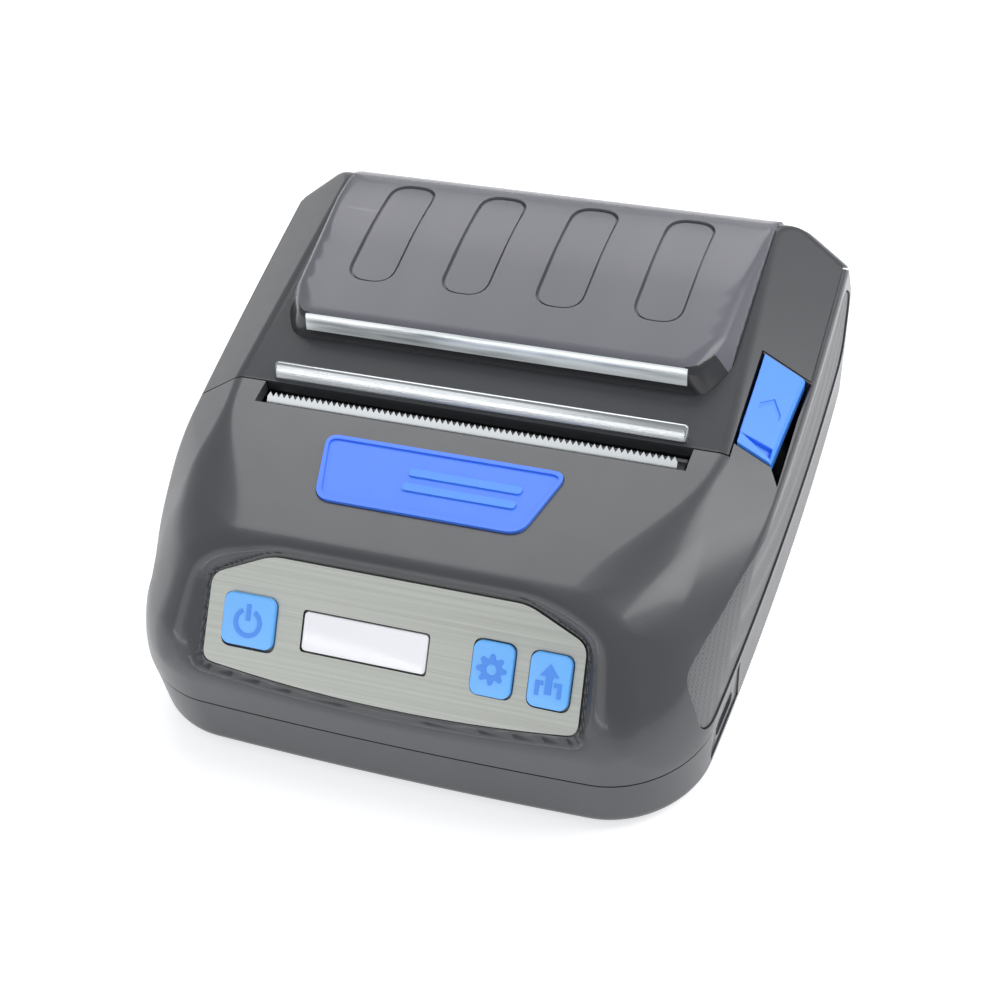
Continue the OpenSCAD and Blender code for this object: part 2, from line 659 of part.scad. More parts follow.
// ---------- print mechanism ----------
platen_y = -1.5;
platen_z = deck_z - 6.9;
pull_angle = atan2(platen_z - hinge_z, hinge_y - platen_y);     // the platen leaves at a right angle to its radius
function polar(y, z, r, a) = [y + r * cos(a), z + r * sin(a)];
idler_dir = -90 - pull_angle;
idler_at = polar(platen_y, platen_z, gear_m * (platen_teeth + idler_teeth) / 2 + 0.05, idler_dir);
pinion_dir = 235;
pinion_at = polar(idler_at[0], idler_at[1], gear_m * (idler_teeth + pinion_teeth) / 2 + 0.05, pinion_dir);
gear_x1 = -paper_w / 2 - 6.2;
gear_x0 = gear_x1 - 2.2;
function mate_turn(turn, n, m, dir) = dir + 180 - (turn - dir) * n / m - 180 / m;
idler_turn = mate_turn(idler_dir, platen_teeth, idler_teeth, idler_dir);
pinion_turn = mate_turn(idler_turn, idler_teeth, pinion_teeth, pinion_dir);
module x_rod(y, z, r, x0, x1, fn = 40) { translate([x0, y, z]) rotate([90, 0, 90]) cylinder(r = r, h = x1 - x0, $fn = fn); }
// Spur gear along X with a tooth centred on the given turn.
module gear(at, teeth, turn, bore, x0, x1) {
    rp = gear_m * teeth / 2;
    step = 360 / teeth;
    half = 90 / teeth - 1.2 * 0.5 / rp * 3;
    translate([x0, at[0], at[1]]) rotate([90, 0, 90]) linear_extrude(x1 - x0) difference() {
        polygon([for (k = [0:teeth - 1], e = [[-1.9, -1.2], [-1, 0], [-0.45, 0.85], [0.45, 0.85], [1, 0], [1.9, -1.2]])
            let (a = turn + k * step + half * e[0] * (abs(e[0]) > 1.5 ? 0.92 : 1), r = rp + gear_m * e[1])
            [r * cos(a), r * sin(a)]]);
        circle(bore, $fn = 32);
    }
}
plate_x = paper_w / 2 + 4.5;
frame_t = 1.1;
frame_front_y = slot_front_y - 3.6;
frame_rear_y = 5.2;
frame_low_z = 13;
frame_top_z = deck_z - 3;
bush_r = 3;
bush_gap = 0.2;
latch_y = -13;
latch_z = 20;
module bush_notch() {
    side_prism(-big, big, [[platen_y - bush_r - bush_gap, platen_z], [platen_y + bush_r + bush_gap, platen_z],
        [platen_y + bush_r + bush_gap + 2.5, platen_z + 12], [platen_y - bush_r - bush_gap, platen_z + 12]]);
    x_rod(platen_y, platen_z, bush_r + bush_gap, -big, big);
}
module mech_frame() {
    color([0.7, 0.71, 0.72]) difference() {
        union() {
            both() side_prism(plate_x, plate_x + frame_t, [[frame_front_y, frame_low_z], [frame_rear_y, frame_low_z],
                [frame_rear_y, frame_top_z - 1], [frame_front_y, frame_top_z - 1]]);
            box([-plate_x - 0.1, frame_front_y, frame_low_z + 4], [plate_x + 0.1, frame_front_y + frame_t, frame_top_z - 3]);
            both() box([plate_x, frame_front_y - 5, frame_low_z], [plate_x + 5, frame_front_y + 2, frame_low_z + frame_t]);
            both() box([plate_x, frame_rear_y - 6, frame_low_z], [plate_x + 6, frame_rear_y, frame_low_z + frame_t]);
        }
        bush_notch();
        x_rod(idler_at[0], idler_at[1], 1.5, -plate_x - 9, -plate_x + 3, 32);
        x_rod(pinion_at[0], pinion_at[1], 2.4, -plate_x - 9, -plate_x + 3, 32);
        x_rod(latch_y, latch_z, 1.15, plate_x - 3, plate_x + 9, 32);
        x_rod(head_pin[0], head_pin[1], 1 + run_gap, -plate_x - 9, plate_x + 9, 32);
        at_frame_screws() cylinder(r = screw_r, h = 60, $fn = 24);
    }
}
module at_frame_screws() {
    both() {
        translate([plate_x + 3.2, frame_front_y - 2.6, 0]) children();
        translate([plate_x + 4, frame_rear_y - 3, 0]) children();
    }
}
post_r = 2.4;
module frame_screws() {
    color("silver") at_frame_screws() translate([0, 0, frame_low_z + frame_t]) {
        translate([0, 0, 0]) cylinder(r = 2, h = 0.9, $fn = 24);
        translate([0, 0, -5]) cylinder(r = screw_r - 0.1, h = 5.1, $fn = 24);
    }
}
head_y = platen_y - platen_r - 0.15;
head_t = 1;
head_pin = [head_y - 2.5, platen_z - 7.2];
module print_head() {
    color([0.9, 0.9, 0.86]) difference() {
        box([-paper_w / 2 - 1.5, head_y - head_t, platen_z - 5], [paper_w / 2 + 1.5, head_y, platen_z + 3]);
        box([-big, head_y - 0.2, platen_z + 1.2], [big, head_y + 1, platen_z + 4]);
    }
}
sink_t = 3;
module heat_sink() {
    color([0.62, 0.63, 0.65]) {
        difference() {
            box([-paper_w / 2 - 1.5, head_y - head_t - sink_t, platen_z - 8.6],
                [paper_w / 2 + 1.5, head_y - head_t, platen_z + 3]);
            for (z = [-5.2, -0.9, 0.7]) box([-big, head_y - head_t - sink_t - 1, platen_z + z],
                [big, head_y - head_t - sink_t + 1.6, platen_z + z + 0.8]);
        }
        both() x_rod(head_pin[0], head_pin[1], 1, paper_w / 2 + 1.4, plate_x + frame_t + 0.3, 32);
    }
}
// Coil of round wire along Z, with closed ends.
function ring_at(p, t, w, n) = [for (k = [0:n - 1]) let (b = 360 * k / n)
    [(p[0] + w * cos(b)) * cos(t), (p[0] + w * cos(b)) * sin(t), p[1] + w * sin(b)]];
module coil(r, w, turns, h) {
    steps = turns * 10;
    n = 6;
    points = [for (s = [0:steps]) each ring_at([r, w + (h - 2 * w) * s / steps], 36 * s, w, n)];
    polyhedron(points, concat([[for (k = [0:n - 1]) k]], [[for (k = [n - 1:-1:0]) steps * n + k]],
        [for (s = [0:steps - 1], k = [0:n - 1]) [s * n + k, s * n + (k + 1) % n + n, s * n + (k + 1) % n]],
        [for (s = [0:steps - 1], k = [0:n - 1]) [s * n + k, s * n + k + n, s * n + (k + 1) % n + n]]));
}
spring_x = 22;
module head_springs() {
    from = frame_front_y + frame_t;
    color("silver") both() translate([spring_x, from, platen_z - 3.4]) rotate([-90, 0, 0])
        coil(2.2, 0.3, 4, head_y - head_t - sink_t - from - 0.12);
}
motor_x0 = -plate_x;
motor_l = 19;
module stepper_motor() {
    color([0.55, 0.56, 0.58]) difference() {
        union() {
            x_rod(pinion_at[0], pinion_at[1], motor_r, motor_x0, motor_x0 + motor_l);
            x_rod(pinion_at[0], pinion_at[1], 2.2, motor_x0 - frame_t, motor_x0 + 1, 32);
            box([motor_x0 + 5, pinion_at[0], pinion_at[1] - 3], [motor_x0 + 14, pinion_at[0] + motor_r + 1, pinion_at[1] + 3]);
        }
        x_rod(pinion_at[0], pinion_at[1], 0.8 + run_gap, motor_x0 - 9, motor_x0 + 8, 32);
    }
}
module motor_pinion() {
    color([0.85, 0.75, 0.4]) {
        gear(pinion_at, pinion_teeth, pinion_turn, 0.7, gear_x0, gear_x1);
        x_rod(pinion_at[0], pinion_at[1], 0.8, gear_x0, motor_x0 + 7, 32);
    }
}
module idler_gear() { color([0.92, 0.92, 0.88]) gear(idler_at, idler_teeth, idler_turn, 1.2 + run_gap, gear_x0, gear_x1); }
module idler_pin() {
    color("silver") {
        x_rod(idler_at[0], idler_at[1], 1.2, gear_x0 - 0.4, -plate_x - frame_t, 32);
        x_rod(idler_at[0], idler_at[1], 1.48, -plate_x - frame_t - 0.01, -plate_x + 0.6, 32);
        x_rod(idler_at[0], idler_at[1], 2.2, gear_x0 - 1, gear_x0 - 0.3, 32);
        x_rod(idler_at[0], idler_at[1], 2.4, -plate_x - frame_t - 0.4, -plate_x - frame_t, 32);
    }
}
roller_half = paper_w / 2 + 1;
module platen_roller() {
    color([0.12, 0.12, 0.12]) difference() {
        x_rod(platen_y, platen_z, platen_r, -roller_half, roller_half, 64);
        x_rod(platen_y, platen_z, shaft_r, -big, big, 40);
    }
}
module platen_shaft() { color("silver") x_rod(platen_y, platen_z, shaft_r, gear_x0, plate_x + 2.4, 40); }
module platen_gear() { color([0.92, 0.92, 0.88]) gear([platen_y, platen_z], platen_teeth, idler_dir, shaft_r, gear_x0, gear_x1); }
arm_x = paper_w / 2 + 1.9;
arm_t = 1;
module platen_bushings() {
    color([0.3, 0.3, 0.32]) both() difference() {
        union() {
            x_rod(platen_y, platen_z, bush_r, arm_x + arm_t, plate_x + frame_t + 0.3, 40);
            x_rod(platen_y, platen_z, bush_r - 0.6, arm_x, arm_x + arm_t + 0.1, 40);
        }
        x_rod(platen_y, platen_z, shaft_r + run_gap, -big, big, 40);
    }
}
module platen_bracket() {
    top = lid_top_z(platen_y + 4) - wall;
    color([0.7, 0.71, 0.72]) difference() {
        union() {
            both() side_prism(arm_x, arm_x + arm_t, [[platen_y - 3.6, platen_z - 3.2], [platen_y + 3.6, platen_z - 3.2],
                [platen_y + 6.6, lid_top_z(platen_y + 6.6) - wall - 0.45], [platen_y - 3.6, lid_top_z(platen_y - 3.6) - wall - 0.8]]);
            intersection() {
                box([-arm_x - 0.1, platen_y + platen_r + 0.4, platen_z], [arm_x + 0.1, platen_y + platen_r + 1.4, big]);
                side_prism(-big, big, outline(rear_profile, wall + 0.45));
            }
            intersection() {
                box([-arm_x - 0.1, platen_y + platen_r + 0.4, platen_z], [arm_x + 0.1, platen_y + platen_r + 3.4, big]);
                difference() {
                    side_prism(-big, big, outline(rear_profile, wall));
                    side_prism(-big, big, outline(rear_profile, wall + 0.9));
                }
            }
        }
        x_rod(platen_y, platen_z, bush_r - 0.6, -big, big, 40);
    }
}
module latch_lever() {
    color([0.7, 0.71, 0.72]) difference() {
        union() {
            x_rod(latch_y, latch_z, 2.6, plate_x + frame_t + 0.3, plate_x + frame_t + 1.5, 40);
            side_prism(plate_x + frame_t + 0.3, plate_x + frame_t + 1.5, [[latch_y - 2.4, latch_z], [latch_y + 2.4, latch_z],
                [platen_y - shaft_r - 2.2, platen_z - 6], [platen_y - shaft_r - 0.4, platen_z - 1.4],
                [platen_y - shaft_r - 0.4, platen_z + 1.6], [platen_y - shaft_r - 2.4, platen_z + 2.6],
                [platen_y - shaft_r - 4, platen_z + 0.6]]);
        }
        x_rod(latch_y, latch_z, 1.1 + run_gap, -big, big, 32);
    }
}
module latch_pin() {
    color("silver") {
        x_rod(latch_y, latch_z, 1.1, plate_x - 0.6, plate_x + frame_t + 1.8, 32);
        x_rod(latch_y, latch_z, 2, plate_x + frame_t + 1.7, plate_x + frame_t + 2.4, 32);
        x_rod(latch_y, latch_z, 1.8, plate_x - 1, plate_x, 32);
    }
}

// ---------- release button ----------
spring_v = button_y0 + button_l / 2;
module open_button() {
    color([0.36, 0.66, 1]) difference() {
        intersection() {
            on_shoulder() box([0.4, button_y0, -2], [button_w, button_y0 + button_l, 4]);
            outer_form(-0.5);
            box([lid_edge_x + 0.65, -big, deck_z - 6.2], [big, big, big]);
        }
        button_rod(button_pin_r + run_gap, -5, 50);
        on_shoulder() box([pin_u - 1.3, spring_v - 3, -3], [pin_u + 1.3, spring_v + 3, 0.05]);
        // thumb notch at the front end
        on_shoulder() translate([button_w / 2 + 1, button_y0, 0.5]) rotate([16, 0, 0]) box([-6, -9, -0.1], [9, 3.6, 5]);
    }
}
module button_pin() { color("silver") button_rod(button_pin_r, button_y0 - 2.5, button_y0 + button_l + 1); }
module button_spring() {
    color("silver") on_shoulder() translate([pin_u, spring_v - 2.6, pin_w]) rotate([-90, 0, 0])
        coil(button_pin_r + 0.28, 0.14, 5, 5.2);
}
module lid_springs() {
    color("silver") both() translate([ear_x - 6.2, hinge_y, hinge_z]) rotate([0, 90, 0]) coil(hinge_pin_r + 0.4, 0.2, 4, 5.4);
}

// ---------- paper tub ----------
tub_y = half_d - 34.5;
tub_z = 30;
tub_half = paper_w / 2 + 1.5;
module tub_form(g, x0, x1) {
    x_rod(tub_y, tub_z, tub_r + g, x0, x1, 64);
    box([x0, tub_y - tub_r - g, tub_z], [x1, tub_y + tub_r + g, tub_z + 9]);
}
module paper_tub() {
    color([0.16, 0.16, 0.17]) difference() {
        union() {
            tub_form(tub_wall, -tub_half - tub_wall, tub_half + tub_wall);
            // bridge to the rear wall and feet on the floor
            box([-tub_half, tub_y + tub_r, tub_z - 6], [tub_half, half_d - wall - 1.9, tub_z - 4.4]);
            for (x = [-30, 30]) box([x - 3, tub_y - 4, floor_z], [x + 3, tub_y + 4, tub_z - tub_r]);
        }
        tub_form(0, -tub_half, tub_half);
        box([-big, -big, tub_z + 5.6], [big, big, big]);
    }
}
module paper_sensor() {
    color([0.1, 0.1, 0.1]) box([-3, frame_front_y + frame_t, frame_low_z], [3, frame_front_y + frame_t + 5, frame_low_z + 4]);
}

// ---------- boards, battery, port ----------
board_z = usb_z - usb_h / 2 - board_t;
board_half_w = paper_w / 2 + 5;
board_y0 = door_y1 - 1;
module main_board() {
    color([0.05, 0.3, 0.16]) {
        box([-board_half_w, board_y0, board_z], [board_half_w, 8, board_z + board_t]);
        box([usb_x - 15.4, usb_y - 8, board_z], [usb_x - 4.2, boss_front_y - boss_r - 0.4, board_z + board_t]);
        box([usb_x - 15.4, usb_y, board_z], [boss_x - boss_r - 0.4, board_y0 + 0.01, board_z + board_t]);
    }
    color([0.1, 0.1, 0.1]) {
        box([-8, -13, board_z + board_t], [2, -3, board_z + board_t + 1.4]);
        box([14, -12, board_z + board_t], [22, -4, board_z + board_t + 1.2]);
        box([-38, -6, board_z + board_t], [-30, 4, board_z + board_t + 3]);
        box([8, 1, board_z + board_t], [26, 5, board_z + board_t + 3.6]);
    }
}
module usb_socket() {
    color("silver") difference() {
        translate([usb_x - 8, usb_y, usb_z]) rotate([0, 90, 0]) pill([usb_h, usb_w], usb_h / 2 - 0.05, 0, 7);
        translate([usb_x - 6.8, usb_y, usb_z]) rotate([0, 90, 0]) pill([usb_h - 0.6, usb_w - 0.6], usb_h / 2 - 0.35, 0, 9);
    }
    color("black") box([usb_x - 6.9, usb_y - 3.2, usb_z - 0.35], [usb_x - 1.8, usb_y + 3.2, usb_z + 0.35]);
}
module usb_bezel() {
    color([0.18, 0.18, 0.2]) difference() {
        intersection() {
            outer_form(base_inset - 0.2);
            box([usb_x - 3.2, usb_y - usb_half_y + 0.15, usb_z0 + 0.15], [big, usb_y + usb_half_y - 0.15, seam_z + 1.05]);
        }
        translate([usb_x - 9, usb_y, usb_z]) rotate([0, 90, 0]) pill([usb_h + 0.3, usb_w + 0.3], usb_h / 2 + 0.1, 0, 30);
    }
}
module battery_pack() {
    color([0.16, 0.3, 0.55]) box([-battery_w / 2, door_y0 + 2, floor_z], [battery_w / 2, door_y0 + 2 + battery_d, floor_z + battery_h]);
}
module battery_contacts() {
    color([0.9, 0.75, 0.3]) for (x = [-6, 0, 6])
        box([x - 1, door_y0 + 2 + battery_d, floor_z + 0.3], [x + 1, board_y0, board_z + board_t]);
}
module head_cable() {
    t = 0.3;
    y0 = frame_front_y + frame_t;
    color([0.92, 0.92, 0.88]) side_prism(-9, 9, [[head_y - head_t - 0.01, platen_z - 8.62], [head_y - head_t - 0.01 - t, platen_z - 8.62],
        [head_y - head_t - 1 - t, platen_z - 12], [2.4, 20], [3, board_z + board_t + 3.6], [3.4, board_z + board_t + 3.6],
        [2.9, 20.2], [head_y - head_t - 0.6, platen_z - 11.6]]);
}

base_shell();
upper_shell();
lid_shell();
lid_window();
tear_bar();
cutter_blade();
control_plate();
display_lens();
display_module();
power_key();
settings_key();
feed_key();
key_board();
key_switches();
badge();
grip_left();
grip_right();
usb_bezel();
usb_socket();
main_board();
battery_pack();
battery_contacts();
battery_door();
paper_tub();
mech_frame();
print_head();
heat_sink();
head_springs();
stepper_motor();
motor_pinion();
idler_gear();
idler_pin();
platen_roller();
platen_shaft();
platen_gear();
platen_bushings();
platen_bracket();
latch_lever();
latch_pin();
open_button();
button_pin();
button_spring();
hinge_pins();
lid_springs();
paper_sensor();
head_cable();
rubber_feet();
base_screws();
door_screws();
frame_screws();
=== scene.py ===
import bmesh
import bpy
import math
import numpy as np
from mathutils import Matrix, Vector


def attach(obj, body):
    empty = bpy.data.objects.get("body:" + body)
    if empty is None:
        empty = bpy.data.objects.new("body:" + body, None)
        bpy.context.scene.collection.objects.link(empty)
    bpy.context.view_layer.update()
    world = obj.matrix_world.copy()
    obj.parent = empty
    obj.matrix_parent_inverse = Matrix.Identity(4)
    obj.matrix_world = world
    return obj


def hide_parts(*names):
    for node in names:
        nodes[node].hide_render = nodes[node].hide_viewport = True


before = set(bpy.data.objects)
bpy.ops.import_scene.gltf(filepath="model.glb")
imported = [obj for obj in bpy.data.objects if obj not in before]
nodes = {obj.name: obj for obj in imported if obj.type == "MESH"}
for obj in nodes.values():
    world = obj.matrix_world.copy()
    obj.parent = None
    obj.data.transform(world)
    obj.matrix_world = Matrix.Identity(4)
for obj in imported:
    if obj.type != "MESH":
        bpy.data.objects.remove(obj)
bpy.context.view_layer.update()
mm = 0.001
print("frame loaded")


# Materials: a socket of a node tree that can be added to a number and multiplied by one.
class Wave:
    def __init__(self, tree, value):
        self.tree = tree
        self.value = value

    def math(self, kind, *pair):
        node = self.tree.nodes.new("ShaderNodeMath")
        node.operation = kind
        for place, item in enumerate(pair):
            plug(self.tree, node.inputs[place], item)
        return Wave(self.tree, node.outputs[0])

    def __radd__(self, other):
        return self.math("ADD", other, self)

    def __mul__(self, other):
        return self.math("MULTIPLY", self, other)


def plug(tree, socket, item):
    if isinstance(item, Wave):
        tree.links.new(item.value, socket)
    elif isinstance(item, bpy.types.NodeSocket):
        tree.links.new(item, socket)
    else:
        socket.default_value = item


class Surface:
    def __init__(self, name, color, roughness, **constants):
        self.material = bpy.data.materials.new(name)
        self.material.use_nodes = True
        self.tree = self.material.node_tree
        self.shader = self.tree.nodes["Principled BSDF"]
        self.set("Base Color", (*color, 1))
        self.set("Roughness", roughness)
        for key, value in constants.items():
            self.set(key.replace("_", " "), value)
        self.material.diffuse_color = (*color, 1)

    def set(self, name, item):
        plug(self.tree, self.shader.inputs[name], item)

    def node(self, kind, settings=None, output=0, **sockets):
        made = self.tree.nodes.new("ShaderNode" + kind)
        for key, value in (settings or {}).items():
            setattr(made, key, value)
        for key, value in sockets.items():
            plug(self.tree, made.inputs[key.replace("_", " ")], value)
        return Wave(self.tree, made.outputs[output])

    def place(self, stretch=(1, 1, 1)):
        where = self.node("TexCoord", output=3)
        return self.node("Mapping", Vector=where, Scale=stretch)

    def noise(self, scale, detail=3, stretch=(1, 1, 1)):
        return self.node("TexNoise", Vector=self.place(stretch), Scale=scale, Detail=detail)

    def tone(self, factor, low, high):
        made = self.tree.nodes.new("ShaderNodeMix")
        made.data_type = "RGBA"
        plug(self.tree, made.inputs[0], factor)
        plug(self.tree, made.inputs[6], (*low, 1))
        plug(self.tree, made.inputs[7], (*high, 1))
        self.set("Base Color", Wave(self.tree, made.outputs[2]))

    def bump(self, height, depth, strength=1.0):
        self.set("Normal", self.node("Bump", Height=height, Distance=depth * mm, Strength=strength))


def plastic(name, color, roughness, grain=0.02, pitch=2600, vary=0.12, coat=0.0):
    look = Surface(name, color, roughness, Coat_Weight=coat, Coat_Roughness=0.14)
    mottle = look.noise(60)
    look.tone(mottle, [c * (1 - vary) for c in color], [c * (1 + vary) for c in color])
    look.set("Roughness", roughness - 0.04 + look.noise(220) * 0.08)
    look.bump(look.noise(pitch, 2), grain, 0.6)
    return look


def metal(name, color, roughness, brush=(1, 1, 1), depth=0.01, vary=0.1):
    look = Surface(name, color, roughness, Metallic=1.0)
    lines = look.noise(900, 2, brush)
    look.tone(lines, [c * (1 - vary) for c in color], [min(1, c * (1 + vary)) for c in color])
    look.set("Roughness", roughness - 0.06 + lines * 0.14)
    look.bump(lines, depth, 0.5)
    return look


def ribbed():
    look = Surface("grip_ribbed", (0.15, 0.155, 0.16), 0.5)
    edges = {"feature": "DISTANCE_TO_EDGE"}
    pits = look.node("TexVoronoi", edges, Vector=look.place(), Scale=1700.0, Randomness=0.1)
    # The grip's pits are painted darker than its ridges: painted shade in the texture's hollows.
    mesh = pits * 2.4
    look.tone(mesh, (0.15, 0.155, 0.16), (0.095, 0.098, 0.102))
    look.set("Roughness", 0.5 + mesh * 0.15)
    look.bump(mesh, -0.06, 0.8)
    return look


def smoke():
    look = Surface("window_smoke", (0.10, 0.10, 0.12), 0.2, Alpha=0.8, IOR=1.45)
    dust = look.noise(40)
    look.set("Roughness", 0.2 + dust * 0.06)
    bands = look.noise(34, 2, (1, 0.04, 0.04))
    look.tone(bands, (0.105, 0.105, 0.125), (0.21, 0.21, 0.24))
    return look


# Painted reflection for the window's front bevel: silvery streaks from near black to white painted into its
# colour.
def paintedBevelReflection():
    look = Surface("window_bevel", (0.6, 0.64, 0.64), 0.18, Metallic=0.35)
    reflectionStreaks = look.node("ValToRGB", Fac=look.noise(42, 4, (0.3, 2.4, 5)))
    look.set("Base Color", reflectionStreaks)
    look.set("Roughness", 0.14 + look.noise(90) * 0.14)
    ramp = reflectionStreaks.value.node.color_ramp.elements
    ramp[0].position, ramp[0].color = 0.32, (0.07, 0.08, 0.085, 1)
    ramp[1].position, ramp[1].color = 0.47, (0.95, 1.0, 1.0, 1)
    return look


looks = {
    "shell": plastic("shell_black", (0.046, 0.048, 0.054), 0.38, coat=0.3),
    "lid": plastic("lid_black", (0.035, 0.037, 0.042), 0.38, coat=0.3),
    "base": plastic("base_black", (0.046, 0.048, 0.054), 0.4, coat=0.25),
    "grip": ribbed(),
    "smoke": smoke(),
    "bevel": paintedBevelReflection(),
    # A near-black sheet laid over the window's bevel as painted dark reflection.
    "darkReflection": plastic("bevel_black", (0.03, 0.03, 0.034), 0.14, 0.002, 900, 0.02),
    "chrome": metal("bar_chrome", (0.46, 0.48, 0.49), 0.24, (0.05, 4, 4)),
    "steel": metal("steel", (0.42, 0.425, 0.43), 0.3, (0.1, 3, 3)),
    "plate": metal("plate_silver", (0.35, 0.362, 0.338), 0.44, (0.02, 2.6, 2.6), 0.03, 0.3),
    "key": plastic("key_blue", (0.155, 0.48, 1.0), 0.34, 0.01, 1800, 0.04),
    "release": plastic("button_blue", (0.06, 0.28, 0.96), 0.36, 0.01, 1800, 0.04),
    "mark": plastic("key_mark", (0.06, 0.27, 0.85), 0.4, 0.01, 1800, 0.04),
    "badge": plastic("badge_blue", (0.055, 0.21, 0.92), 0.4, 0.01, 1800, 0.04),
    "white": plastic("display_white", (0.86, 0.86, 0.9), 0.16, 0.004, 900, 0.02),
    "inner": plastic("inner_black", (0.02, 0.02, 0.021), 0.5),
    "board": plastic("board_green", (0.01, 0.1, 0.05), 0.3),
    "gear": plastic("gear_white", (0.75, 0.75, 0.7), 0.42),
    "brass": metal("brass", (0.75, 0.55, 0.25), 0.28),
    "rubber": plastic("rubber_black", (0.014, 0.014, 0.014), 0.75, 0.05, 1500),
    "sink": metal("sink_alu", (0.6, 0.61, 0.63), 0.38, (0.1, 4, 4)),
    "cell": plastic("cell_blue", (0.03, 0.09, 0.3), 0.45),
}
worn = {
    "shell": "upper_shell battery_door usb_bezel", "base": "base_shell", "lid": "lid_shell",
    "grip": "grip_left grip_right", "smoke": "lid_window", "chrome": "tear_bar cutter_blade",
    "steel": "mech_frame platen_bracket platen_shaft idler_pin latch_lever latch_pin button_pin "
    "button_spring hinge_pins lid_springs head_springs base_screws door_screws frame_screws "
    "usb_socket stepper_motor",
    "plate": "control_plate", "key": "power_key settings_key feed_key open_button", "badge": "badge",
    "white": "display_lens display_module print_head",
    "inner": "paper_tub key_switches paper_sensor platen_bushings",
    "board": "key_board main_board", "gear": "platen_gear idler_gear head_cable",
    "brass": "motor_pinion battery_contacts",
    "rubber": "rubber_feet platen_roller", "sink": "heat_sink", "cell": "battery_pack",
}


def wear(thing, look):
    thing.data.materials.clear()
    thing.data.materials.append(looks[look].material)
    return thing


for look, names in worn.items():
    for name in names.split():
        wear(nodes[name], look)
print("materials made")


# Smooth forms: each is a distance in millimetres, negative inside, and meets its neighbours in a fillet.
def blendMax(a, b, radius):
    inner = np.minimum(np.maximum(a, b), -radius)
    return inner + np.hypot(np.maximum(a + radius, 0), np.maximum(b + radius, 0))


def leaning(y, z, y0, z0, degrees):
    turn = math.radians(degrees)
    return (z - z0) * math.cos(turn) - (y - y0) * math.sin(turn)


def ease(value, start, end):
    share = np.clip((value - start) / (end - start), 0, 1)
    return share * share * (3 - 2 * share)


body = {
    "depth": 63.5, "halfWidth": 59.4, "edgeZ": 37.0, "lean": 4.5, "sideBow": 1.6, "widestY": 10.0,
    "bowEnd": 46.5, "frontBow": 1.0, "frontBowX": 45, "foot": 1.2, "wall": 2.4,
    "frontCorner": 16.8, "rearCorner": 7.4, "cornerDepth": 19.4, "rearDepth": 11.1,
    "panelTilt": 50.4, "panelY": -60.7, "panelZ": 23.7, "rim": 3.0,
    "deckZ": 43.4, "deckSlope": 1.8, "lidY": -7.0, "lidRise": 10.7,
    "backY": 60.3, "backZ": 38.4, "backSlope": -50.0,
    "crease": 49.0, "shoulderSlope": 34.5, "shoulderRise": 6.7,
    "seamZ": 12.8, "seam": 0.45, "gap": 0.3, "baseInset": 0.08,
}
# Fillets between the body's faces; those that grow towards the front have two values.
fillet = {
    "panelToDeck": 4.5, "lidToBack": 2.8, "shoulder": (0.7, 6), "corner": 4.0, "rear": 1.5,
    "edge": (0.9, 3.6), "foot": 2.4, "growFrom": 12, "growTo": 46,
}
cornerFlats = ((65, 30), (40, 45))  # turn and rise
rearFlat = (147, 27)


def shoulder(x, y, z):
    slope, rise = (math.radians(body[k]) for k in ("shoulderSlope", "shoulderRise"))
    nx, ny, nz = math.cos(rise) * math.sin(slope), -math.sin(rise), math.cos(rise) * math.cos(slope)
    return (x - body["crease"]) * nx + (y - body["lidY"]) * ny + (z - body["deckZ"]) * nz


# A flat that cuts a top corner, turned from the front and rising by so many degrees.
def cornerFlat(x, y, z, turn, rise, end, depth):
    turn, rise = math.radians(turn), math.radians(rise)
    along = (x - body["halfWidth"]) * math.sin(turn) - (y - end * body["depth"]) * math.cos(turn)
    return along * math.cos(rise) + (z - body["deckZ"]) * math.sin(rise) + depth


def bodyForm(p):
    x, y, z = np.abs(p[:, 0]), p[:, 1], p[:, 2]
    lean = math.tan(math.radians(body["lean"])) * (z - body["edgeZ"])
    bow = body["sideBow"] * ((y - body["widestY"]) / (body["bowEnd"] + body["widestY"])) ** 2
    front = -(y + body["depth"]) + body["frontBow"] * (x / body["frontBowX"]) ** 2
    toFront = ease(-y, fillet["growFrom"], fillet["growTo"])
    grown = {key: fillet[key][0] + fillet[key][1] * toFront for key in ("shoulder", "edge")}
    panel = leaning(y, z, body["panelY"], body["panelZ"], body["panelTilt"]) - body["rim"]
    deck = leaning(y, z, body["lidY"], body["deckZ"], body["deckSlope"])
    lid = leaning(y, z, body["lidY"], body["deckZ"], body["lidRise"])
    back = leaning(y, z, body["backY"], body["backZ"], body["backSlope"])
    ahead, behind = blendMax(panel, deck, fillet["panelToDeck"]), blendMax(lid, back, fillet["lidToBack"])
    crown = np.where(y < body["lidY"], ahead, behind)
    top = blendMax(crown, shoulder(x, y, z), grown["shoulder"])
    for turn, rise in cornerFlats:
        top = blendMax(top, cornerFlat(x, y, z, turn, rise, -1, body["cornerDepth"]), fillet["corner"])
    top = blendMax(top, cornerFlat(x, y, z, *rearFlat, 1, body["rearDepth"]), fillet["rear"])
    plan = blendMax(x - body["halfWidth"] + bow - lean, front, body["frontCorner"])
    plan = blendMax(plan, y - body["depth"], body["rearCorner"])
    whole = blendMax(plan, top, grown["edge"])
    return blendMax(whole, body["foot"] - z, fillet["foot"])


# The control plate's outline in its own plane, and the frame of that plane.
plate = {
    "width": 72.4, "height": 21.1, "bow": 2.2, "shoulder": 16.1, "apex": 24.5, "slope": 1.05,
    "ledge": 0.8, "ledgeCorner": 3.0, "floor": 0.4, "rimRadius": 2.2,
}
tilt = math.radians(body["panelTilt"])
onPlate = Matrix.Translation((0, body["panelY"] * mm, body["panelZ"] * mm)) @ Matrix.Rotation(tilt, 4, "X")


